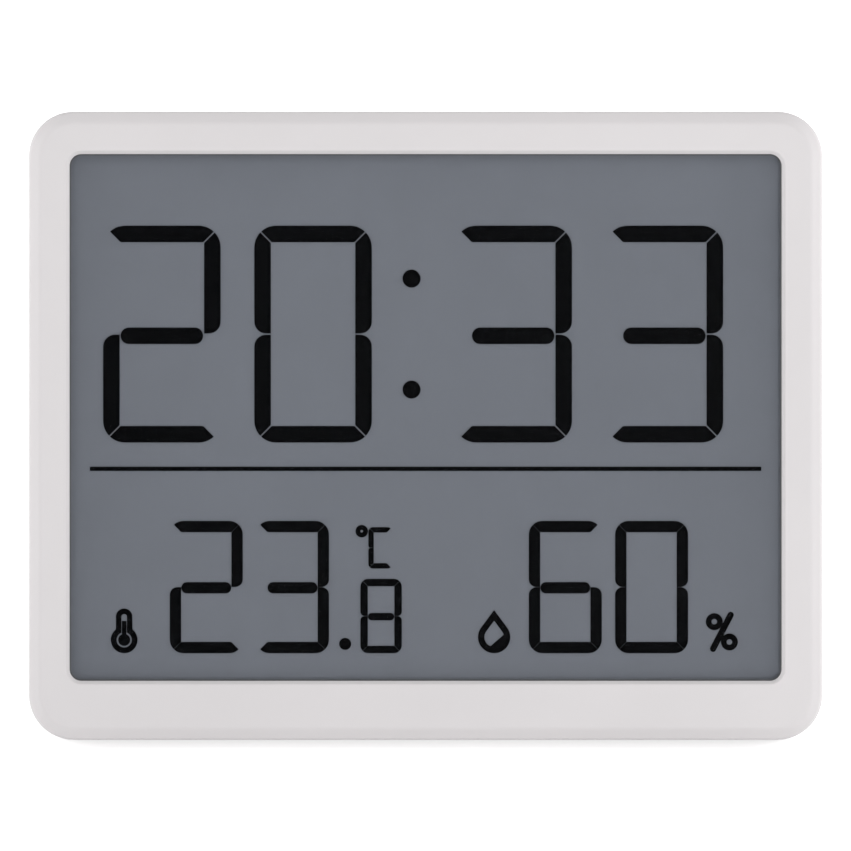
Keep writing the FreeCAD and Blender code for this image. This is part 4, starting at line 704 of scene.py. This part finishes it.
@dataclass(frozen=True)
class SoftMaterial(Finish):
    """Foam, rubber or elastomer."""

    dust: Colour = (0.16, 0.155, 0.15)
    pore_size: float = 0.25 * MM
    pore_depth: float = 0.03 * MM
    specular: float = 0.25

    def dress(self, graph: Graph, shader: bpy.types.Node) -> None:
        """Feeds the shader from the soft grain.

        Args:
            graph: Graph of the material.
            shader: The material's shader.
        """
        shader.inputs["Specular IOR Level"].default_value = self.specular
        effect = SoftGrain().use(
            graph, Colour=self.rgba(), Dust=self.rgba(self.dust), Pore_Scale=1.0 / self.pore_size,
            Pore_Depth=self.pore_depth,
        )
        self.join(graph, shader, effect)


@dataclass(frozen=True)
class ClearMaterial(Finish):
    """Film or glass that the display is seen through."""

    alpha: float = 0.05
    roughness: float = 0.3
    specular: float = 0.3
    ripple: float = 0.0

    def dress(self, graph: Graph, shader: bpy.types.Node) -> None:
        """Feeds the shader from the clear sheet.

        Args:
            graph: Graph of the material.
            shader: The material's shader.
        """
        shader.inputs["Specular IOR Level"].default_value = self.specular
        effect = ClearSheet().use(
            graph, Colour=self.rgba(), Alpha=self.alpha, Roughness=self.roughness, Ripple=self.ripple,
        )
        self.join(graph, shader, effect)


@dataclass(frozen=True)
class SegmentInk(Finish):
    """Dark liquid crystal of a switched segment, a little uneven in its depth."""

    lighter: Colour = (0.0024, 0.0027, 0.0034)
    specular: float = 0.02
    depth_scale: float = 900.0
    depth_detail: float = 4.0
    depth_band: Band = (0.35, 0.65)
    roughness: Band = (0.6, 0.7)
    grain_scale: float = 6000.0
    grain_height: float = 0.001 * MM

    def dress(self, graph: Graph, shader: bpy.types.Node) -> None:
        """Feeds the shader with two blacks, hardly any gloss and a very fine grain.

        Args:
            graph: Graph of the material.
            shader: The material's shader.
        """
        shader.inputs["Specular IOR Level"].default_value = self.specular
        place = graph.place()
        depth = graph.span(graph.noise(place, self.depth_scale, self.depth_detail), *self.depth_band)
        grain = graph.noise(place, self.grain_scale)
        graph.feed(shader.inputs["Base Color"], graph.mix(depth, self.rgba(), self.rgba(self.lighter)))
        graph.feed(shader.inputs["Roughness"], graph.span(depth, 0.0, 1.0, *self.roughness))
        graph.feed(shader.inputs["Normal"], graph.bump(grain, self.grain_height))


@dataclass(frozen=True)
class ReflectorFilm(Finish):
    """Grey film behind the cell, satin with a very fine random grain."""

    specular: float = 0.12
    grain_size: float = 0.16 * MM
    grain_height: float = 0.002 * MM
    grain_tones: Band = (0.975, 1.025)
    cloud_scale: float = 14.0
    cloud_distortion: float = 0.3
    cloud_tones: Band = (-0.003, 0.003)
    roughness: Band = (0.5, 0.6)

    def dress(self, graph: Graph, shader: bpy.types.Node) -> None:
        """Feeds the shader with the film's grain and its faint cloudiness.

        Args:
            graph: Graph of the material.
            shader: The material's shader.
        """
        shader.inputs["Specular IOR Level"].default_value = self.specular
        place = graph.place()
        grain = graph.noise(place, 1.0 / self.grain_size)
        cloud = graph.noise(place, self.cloud_scale, distortion=self.cloud_distortion)
        speckle = graph.sway(grain, *self.grain_tones)
        level = graph.maths(Maths.ADD, speckle, graph.sway(cloud, *self.cloud_tones))
        graph.feed(shader.inputs["Base Color"], graph.scaled(self.colour, level))
        graph.feed(shader.inputs["Roughness"], graph.sway(grain, *self.roughness))
        graph.feed(shader.inputs["Normal"], graph.bump(grain, self.grain_height))


@dataclass(frozen=True)
class SolderMask(Finish):
    """Green circuit board with copper tracks that show under its mask."""

    lean: Lean = field(default_factory=Lean)
    track: Colour = (0.075, 0.3, 0.12)
    track_middle: float = 0.5
    track_band: Band = (0.24, 0.2)
    track_height: float = 0.03 * MM
    pitch: float = 1.3 * MM
    cell: float = 9.0 * MM
    across_share: float = 0.5
    weave: Colour = (0.02, 0.1, 0.045)
    weave_scale: float = 900.0
    weave_shares: Band = (0.0, 0.25)
    roughness: Band = (0.28, 0.42)

    def dress(self, graph: Graph, shader: bpy.types.Node) -> None:
        """Feeds the shader with tracks that run across in some cells and up in others.

        Args:
            graph: Graph of the material.
            shader: The material's shader.
        """
        place = graph.upright(self.lean)
        parts = graph.node("ShaderNodeSeparateXYZ")
        graph.feed(parts.inputs[0], place)
        across = self.stripes(graph, parts.outputs["X"])
        up = self.stripes(graph, parts.outputs["Z"])
        snapped = graph.node("ShaderNodeVectorMath", operation="SNAP")
        graph.feed(snapped.inputs[0], place)
        snapped.inputs[1].default_value = (self.cell, self.cell, self.cell)
        choice = graph.node("ShaderNodeTexWhiteNoise", noise_dimensions="3D")
        graph.feed(choice.inputs["Vector"], snapped.outputs["Vector"])
        sideways = graph.maths(Maths.GREATER, choice.outputs["Value"], self.across_share)
        tracks = graph.maths(
            Maths.ADD, graph.maths(Maths.MULTIPLY, sideways, across),
            graph.maths(Maths.MULTIPLY, graph.maths(Maths.SUBTRACT, 1.0, sideways), up),
        )
        weave = graph.noise(graph.upright(self.lean, (self.weave_scale,) * 3), 1.0)
        woven = graph.mix(graph.sway(weave, *self.weave_shares), self.rgba(), self.rgba(self.weave))
        graph.feed(shader.inputs["Base Color"], graph.mix(tracks, woven, self.rgba(self.track)))
        graph.feed(shader.inputs["Roughness"], graph.sway(weave, *self.roughness))
        graph.feed(shader.inputs["Normal"], graph.bump(tracks, self.track_height))

    def stripes(self, graph: Graph, place: Socket) -> Socket:
        """Parallel tracks along one axis.

        Args:
            graph: Graph of the material.
            place: Coordinate across the tracks, in metres.

        Returns:
            1 on a track and 0 beside it.
        """
        turns = graph.maths(Maths.MULTIPLY, place, 1.0 / self.pitch)
        offset = graph.maths(Maths.SUBTRACT, graph.maths(Maths.FRACTION, turns), self.track_middle)
        return graph.span(graph.maths(Maths.ABSOLUTE, offset), *self.track_band)


class PositiveEnd(Enum):
    """Which way the positive end of a cell points."""

    UP = 1.0
    DOWN = -1.0


@dataclass(frozen=True)
class CellSleeve(Finish):
    """Plain printed sleeve of a cell, with a band at its positive end and bare ends."""

    lean: Lean = field(default_factory=Lean)
    positive: PositiveEnd = PositiveEnd.UP
    middle: float = 55.0 * MM
    sleeve_half: float = 21.4 * MM
    band_from: float = 9.0 * MM
    band: Colour = (0.42, 0.3, 0.16)
    steel: Colour = (0.62, 0.62, 0.6)
    metallic: Band = (0.35, 1.0)
    roughness: Band = (0.24, 0.4)
    scuff: Colour = (0.4, 0.4, 0.4)
    scuff_stretch: tuple = (1.0, 1.0, 0.2)
    scuff_scale: float = 1400.0
    scuff_detail: float = 4.0
    scuff_band: Band = (0.6, 0.75)
    scuff_share: float = 0.2
    scuff_height: float = 0.004 * MM

    def dress(self, graph: Graph, shader: bpy.types.Node) -> None:
        """Feeds the shader with the sleeve's bands, its steel ends and light scuffs.

        Args:
            graph: Graph of the material.
            shader: The material's shader.
        """
        parts = graph.node("ShaderNodeSeparateXYZ")
        graph.feed(parts.inputs[0], graph.upright(self.lean))
        along = graph.maths(Maths.SUBTRACT, parts.outputs["Z"], self.middle)
        along = graph.maths(Maths.MULTIPLY, along, self.positive.value)
        end = graph.maths(Maths.GREATER, graph.maths(Maths.ABSOLUTE, along), self.sleeve_half)
        banded = graph.maths(Maths.GREATER, along, self.band_from)
        stretched = graph.upright(self.lean, self.scuff_stretch)
        scuffs = graph.span(graph.noise(stretched, self.scuff_scale, self.scuff_detail), *self.scuff_band)
        scuffed = graph.maths(Maths.MULTIPLY, scuffs, self.scuff_share)
        sleeve = graph.mix(banded, self.rgba(), self.rgba(self.band))
        sleeve = graph.mix(scuffed, sleeve, self.rgba(self.scuff))
        graph.feed(shader.inputs["Base Color"], graph.mix(end, sleeve, self.rgba(self.steel)))
        graph.feed(shader.inputs["Metallic"], graph.span(end, 0.0, 1.0, *self.metallic))
        graph.feed(shader.inputs["Roughness"], graph.span(scuffs, 0.0, 1.0, *self.roughness))
        graph.feed(shader.inputs["Normal"], graph.bump(scuffs, self.scuff_height))


@dataclass(frozen=True)
class Ceramic(Finish):
    """Fired ceramic of small board parts, with lighter speckles."""

    speck: Colour = (0.52, 0.42, 0.3)
    speck_scale: float = 4200.0
    speck_detail: float = 4.0
    speck_band: Band = (0.45, 0.7)
    speck_height: float = 0.01 * MM
    roughness: Band = (0.3, 0.5)

    def dress(self, graph: Graph, shader: bpy.types.Node) -> None:
        """Feeds the shader with speckles and a fired surface.

        Args:
            graph: Graph of the material.
            shader: The material's shader.
        """
        grain = graph.noise(graph.place(), self.speck_scale, self.speck_detail)
        speckle = graph.span(grain, *self.speck_band)
        graph.feed(shader.inputs["Base Color"], graph.mix(speckle, self.rgba(), self.rgba(self.speck)))
        graph.feed(shader.inputs["Roughness"], graph.span(speckle, 0.0, 1.0, *self.roughness))
        graph.feed(shader.inputs["Normal"], graph.bump(speckle, self.speck_height))


ZINC_STEEL = Metal("zinc_plated_steel", (0.6, 0.6, 0.61), roughness=0.32)


# Sub-assemblies

def dress_node(node: str, finish: Finish) -> None:
    """Gives a CAD node a finish.

    Args:
        node: Name of the node.
        finish: Its finish.
    """
    made = finish.material()
    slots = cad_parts[node].material_slots
    for slot in slots:
        slot.material = made


def ground_plate(name: str, plate: Plate, lean: Lean, relief: float, chamfer: float) -> bpy.types.Object:
    """Makes a thin plate with ground edges.

    Args:
        name: Name of the piece.
        plate: Size and place that the plate fills.
        lean: Lean of the clock.
        relief: Gap left to what lies before and behind it, in metres.
        chamfer: Width of the ground edge, in metres.

    Returns:
        The plate's object.
    """
    bpy.ops.object.select_all(action="DESELECT")
    bpy.ops.mesh.primitive_cube_add(
        size=1.0, location=plate.centre, rotation=(-lean.angle, 0.0, 0.0),
        scale=(plate.width, plate.thickness - 2 * relief, plate.height),
    )
    piece = bpy.context.object
    piece.name = name
    piece.data.name = name
    bpy.ops.object.transform_apply(location=True, rotation=True, scale=True)
    bpy.ops.object.mode_set(mode="EDIT")
    bpy.ops.mesh.select_all(action="SELECT")
    bpy.ops.mesh.bevel(offset=chamfer, segments=1, affect="EDGES")
    bpy.ops.object.mode_set(mode="OBJECT")
    return piece


@dataclass
class FrontShell:
    """White front frame and the dark line of foam round its window."""

    plastic: Finish = MouldedPlastic("white_moulded_plastic", (0.772, 0.744, 0.752))
    foam: Finish = SoftMaterial("grey_gasket_foam", (0.11, 0.115, 0.12))

    def build(self) -> None:
        """Dresses the frame and its gasket."""
        dress_node("front_frame", self.plastic)
        dress_node("display_gasket", self.foam)


@dataclass
class Display:
    """Liquid crystal cell: satin film, two glasses, dark segments and the grey reflector."""

    lean: Lean
    relief: float = 0.03 * MM
    film_chamfer: float = 0.03 * MM
    glass_chamfer: float = 0.15 * MM
    film: Finish = ClearMaterial(
        "satin_display_film", (0.01, 0.01, 0.011), alpha=0.02, roughness=0.38, specular=0.05,
        ripple=0.002 * MM,
    )
    glass: Finish = ClearMaterial(
        "clear_cell_glass", (0.01, 0.011, 0.011), alpha=0.01, roughness=0.12, specular=0.1,
    )
    frosted: Finish = ClearMaterial(
        "frosted_rear_glass", (0.226, 0.244, 0.281), alpha=0.85, roughness=0.5, specular=0.12,
        ripple=0.001 * MM,
    )
    ink: Finish = SegmentInk("dark_segment", (0.0012, 0.0014, 0.0018))
    reflector: Finish = ReflectorFilm("grey_reflector_film", (0.233, 0.251, 0.29))
    segments: tuple[str, ...] = (
        "time_digits", "divider_line", "temperature_digits", "humidity_digits",
        "unit_signs", "thermometer_icon", "droplet_icon",
    )

    def build(self) -> None:
        """Builds the film and the glasses and dresses what they cover."""
        self.sheet("lcd_front_polariser", "display_film", self.film, self.film_chamfer)
        self.sheet("lcd_front_glass", "front_cell_glass", self.glass, self.glass_chamfer)
        self.sheet("lcd_rear_glass", "rear_cell_glass", self.frosted, self.glass_chamfer)
        for node in self.segments:
            dress_node(node, self.ink)
        dress_node("lcd_reflector", self.reflector)

    def sheet(self, node: str, name: str, finish: Finish, chamfer: float) -> None:
        """Builds one clear sheet in place of its node.

        Args:
            node: Node that the sheet stands for.
            name: Name of the piece.
            finish: Finish of the sheet.
            chamfer: Width of its ground edge, in metres.
        """
        piece = ground_plate(name, Plate.of_node(node, self.lean), self.lean, self.relief, chamfer)
        piece.data.materials.append(finish.material())
        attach(piece, "case")
        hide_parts(node)


@dataclass
class Electronics:
    """Tray, circuit board and what is mounted on it."""

    lean: Lean
    tray: Finish = MouldedPlastic("tray_plastic", (0.7, 0.69, 0.68), roughness=0.5)
    screws: Finish = ZINC_STEEL
    strip: Finish = SoftMaterial(
        "pink_elastomer", (0.35, 0.2, 0.22), dust=(0.2, 0.12, 0.13), pore_size=0.1 * MM,
        pore_depth=0.01 * MM,
    )
    board: Colour = (0.03, 0.16, 0.07)
    resin: Finish = MouldedPlastic(
        "black_resin", (0.01, 0.01, 0.01), roughness=0.22, grain_size=0.5 * MM, grain_height=0.02 * MM,
        rubbing_and_highlight=0.1, specular=0.5,
    )
    can: Finish = Metal("drawn_can", (0.7, 0.7, 0.72), roughness=0.25, dulling=0.25)
    sensor: Finish = MouldedPlastic("sensor_plastic", (0.72, 0.72, 0.72), roughness=0.4)
    ceramic: Finish = Ceramic("fired_ceramic", (0.35, 0.25, 0.17))
    switch: Finish = MouldedPlastic("black_switch_plastic", (0.03, 0.03, 0.03), roughness=0.45)

    def build(self) -> None:
        """Dresses the tray, the board and its parts."""
        dress_node("display_tray", self.tray)
        dress_node("tray_screws", self.screws)
        dress_node("board_screws", self.screws)
        dress_node("contact_strip", self.strip)
        dress_node("main_board", SolderMask("green_board", self.board, self.lean))
        dress_node("controller_chip", self.resin)
        dress_node("clock_crystal", self.can)
        dress_node("air_sensor", self.sensor)
        dress_node("board_passives", self.ceramic)
        dress_node("key_switches", self.switch)


@dataclass
class RearShell:
    """Rear cover with its raised block, and the screws that hold the case together."""

    plastic: Finish = MouldedPlastic(
        "white_spark_plastic", (0.775, 0.755, 0.76), roughness=0.5, grain_size=0.4 * MM,
        grain_height=0.03 * MM,
    )
    screws: Finish = ZINC_STEEL

    def build(self) -> None:
        """Dresses the cover and the case screws."""
        dress_node("rear_cover", self.plastic)
        dress_node("case_screws", self.screws)


@dataclass
class BatteryBay:
    """Two cells, their contacts and the sliding door."""

    lean: Lean
    plastic: Finish
    spring: Finish = Metal("nickel_plated_spring", (0.72, 0.7, 0.66), roughness=0.28, dulling=0.3)
    sleeve: Colour = (0.035, 0.045, 0.06)

    def build(self) -> None:
        """Dresses the cells, the contacts and the door."""
        dress_node("battery_1", CellSleeve("cell_sleeve_up", self.sleeve, self.lean, PositiveEnd.UP))
        dress_node("battery_2", CellSleeve("cell_sleeve_down", self.sleeve, self.lean, PositiveEnd.DOWN))
        for node in ("positive_contact", "negative_contact", "link_contact"):
            dress_node(node, self.spring)
        dress_node("battery_door", self.plastic)


@dataclass
class Stand:
    """Swinging leg and its rubber pad."""

    plastic: Finish
    rubber: Finish = SoftMaterial(
        "black_foot_rubber", (0.03, 0.03, 0.031), dust=(0.16, 0.15, 0.14), pore_size=0.5 * MM,
        pore_depth=0.02 * MM,
    )

    def build(self) -> None:
        """Dresses the leg and its pad."""
        dress_node("stand_leg", self.plastic)
        dress_node("stand_foot_pad", self.rubber)


@dataclass
class Keys:
    """Three keys on the back and the plungers that they press."""

    cap: Finish = MouldedPlastic(
        "grey_key_plastic", (0.5, 0.5, 0.51), roughness=0.45, grain_size=0.25 * MM, grain_height=0.008 * MM,
        rubbing_and_highlight=0.8,
    )
    plunger: Finish = MouldedPlastic("black_plunger_plastic", (0.04, 0.04, 0.04), roughness=0.4)

    def build(self) -> None:
        """Dresses each key and its plunger."""
        for name in ("set", "up", "down"):
            dress_node(f"{name}_key", self.cap)
            dress_node(f"{name}_plunger", self.plunger)


# Floor, light and camera

@dataclass(frozen=True)
class Softbox:
    """Square lamp aimed at the middle of the clock's face, which gloss may mirror or not."""

    name: str
    across: float
    depth: float
    height: float
    size: float
    power: float
    mirrored: bool = True

    def build(self, lean: Lean, aim: Vector) -> None:
        """Places the lamp.

        Args:
            lean: Lean of the clock, from whose face the lamp's place is measured.
            aim: Point that it faces.
        """
        light = bpy.data.lights.new(self.name, "AREA")
        light.shape = "SQUARE"
        light.size = self.size
        light.energy = self.power
        lamp = bpy.data.objects.new(self.name, light)
        lamp.visible_glossy = self.mirrored
        lamp.location = lean.point(self.across, self.depth, self.height)
        lamp.rotation_euler = (aim - lamp.location).to_track_quat("-Z", "Y").to_euler()
        bpy.context.scene.collection.objects.link(lamp)


@dataclass
class Studio:
    """White floor and surroundings, soft lamps and the camera at the photograph's angle."""

    lean: Lean
    pixel: float = 0.21159 * MM
    picture_pixels: float = 851.0
    case_middle_pixel: float = 425.58
    case_foot_pixel: float = 740.0
    lens: float = 600.0
    sensor: float = 36.0
    floor_side: float = 1.6
    floor_colour: Colour = (0.87, 0.87, 0.87)
    floor_patch_scale: float = 3.0
    floor_patch_tone: float = 0.985
    floor_lift: float = 0.64
    clear_layers: int = 24
    ambient: float = 0.5
    softboxes: tuple[Softbox, ...] = (
        Softbox("upper_left_softbox", across=-0.35, depth=-1.15, height=0.28, size=0.5, power=0.2),
        Softbox("front_softbox", across=0.2, depth=-1.15, height=-0.1, size=0.5, power=3.88),
        Softbox("right_softbox", across=1.1, depth=-0.04, height=0.1, size=0.7, power=8.3, mirrored=False),
        Softbox("left_softbox", across=-1.1, depth=-0.04, height=0.1, size=0.7, power=7.2, mirrored=False),
        Softbox("rear_softbox", across=0.1, depth=1.0, height=0.9, size=0.8, power=3.8),
    )

    def build(self) -> None:
        """Builds the floor, the light and the camera."""
        middle = self.picture_pixels / 2
        aim = self.lean.point(
            (middle - self.case_middle_pixel) * self.pixel, 0.0, (self.case_foot_pixel - middle) * self.pixel
        )
        self.floor()
        self.surroundings()
        for softbox in self.softboxes:
            softbox.build(self.lean, aim)
        self.camera(aim)
        bpy.context.scene.view_settings.view_transform = "Standard"
        bpy.context.scene.cycles.transparent_max_bounces = self.clear_layers

    def floor(self) -> None:
        """Lays the floor, pale with the clock's shadow on it."""
        bpy.ops.object.select_all(action="DESELECT")
        bpy.ops.mesh.primitive_plane_add(size=self.floor_side, location=(0.0, 0.0, 0.0))
        piece = bpy.context.object
        piece.name = "studio_floor"
        made = bpy.data.materials.new("studio_floor")
        graph = Graph.of(made)
        diffuse = graph.node("ShaderNodeBsdfDiffuse")
        patches = graph.sway(graph.noise(graph.place(), self.floor_patch_scale))
        darker = tuple(self.floor_patch_tone * part for part in self.floor_colour)
        graph.feed(diffuse.inputs["Color"], graph.mix(patches, (*self.floor_colour, 1.0), (*darker, 1.0)))
        glow = graph.node("ShaderNodeEmission")
        graph.feed(glow.inputs["Strength"], graph.maths(Maths.MULTIPLY, self.seen(graph), self.floor_lift))
        both = graph.node("ShaderNodeAddShader")
        graph.feed(both.inputs[0], diffuse.outputs[0])
        graph.feed(both.inputs[1], glow.outputs[0])
        graph.feed(graph.node("ShaderNodeOutputMaterial").inputs["Surface"], both.outputs[0])
        piece.data.materials.append(made)

    def seen(self, graph: Graph) -> Socket:
        """Tells what is seen from what only gives light.

        Args:
            graph: Graph of the floor or of the surroundings.

        Returns:
            1 for what the camera, gloss and glass see, and 0 for the light itself.
        """
        path = graph.node("ShaderNodeLightPath").outputs
        direct = graph.maths(Maths.MOST, path["Is Camera Ray"], path["Is Glossy Ray"])
        return graph.maths(Maths.MOST, direct, path["Is Transmission Ray"])

    def surroundings(self) -> None:
        """Sets white surroundings that give a plain soft light."""
        world = bpy.data.worlds.new("studio")
        graph = Graph.of(world)
        sky = graph.node("ShaderNodeBackground")
        graph.feed(sky.inputs["Strength"], graph.span(self.seen(graph), 0.0, 1.0, self.ambient, 1.0))
        sky.inputs["Color"].default_value = (1.0, 1.0, 1.0, 1.0)
        graph.feed(graph.node("ShaderNodeOutputWorld").inputs["Surface"], sky.outputs[0])
        bpy.context.scene.world = world

    def camera(self, aim: Vector) -> None:
        """Places the camera square to the clock's face, at the photograph's scale.

        Args:
            aim: Point of the face in the middle of the picture.
        """
        data = bpy.data.cameras.new("photo_camera")
        data.lens = self.lens
        data.sensor_width = self.sensor
        away = self.picture_pixels * self.pixel * self.lens / self.sensor
        camera = bpy.data.objects.new("photo_camera", data)
        sine = math.sin(self.lean.angle)
        cosine = math.cos(self.lean.angle)
        camera.location = aim + away * Vector((0.0, -cosine, sine))
        camera.rotation_euler = (math.pi / 2 - self.lean.angle, 0.0, 0.0)
        bpy.context.scene.collection.objects.link(camera)
        bpy.context.scene.camera = camera


def main() -> None:
    """Builds each sub-assembly in order and reports it."""
    logging.basicConfig(level=logging.INFO, format="%(name)s: %(message)s")
    lean = Lean()
    rear = RearShell()
    assemblies = (
        FrontShell(), Display(lean), Electronics(lean), rear, BatteryBay(lean, rear.plastic),
        Stand(rear.plastic), Keys(), Studio(lean),
    )
    for assembly in assemblies:
        assembly.build()
        log.info("built the %s", type(assembly).__name__)


if __name__ == "__main__":
    main()
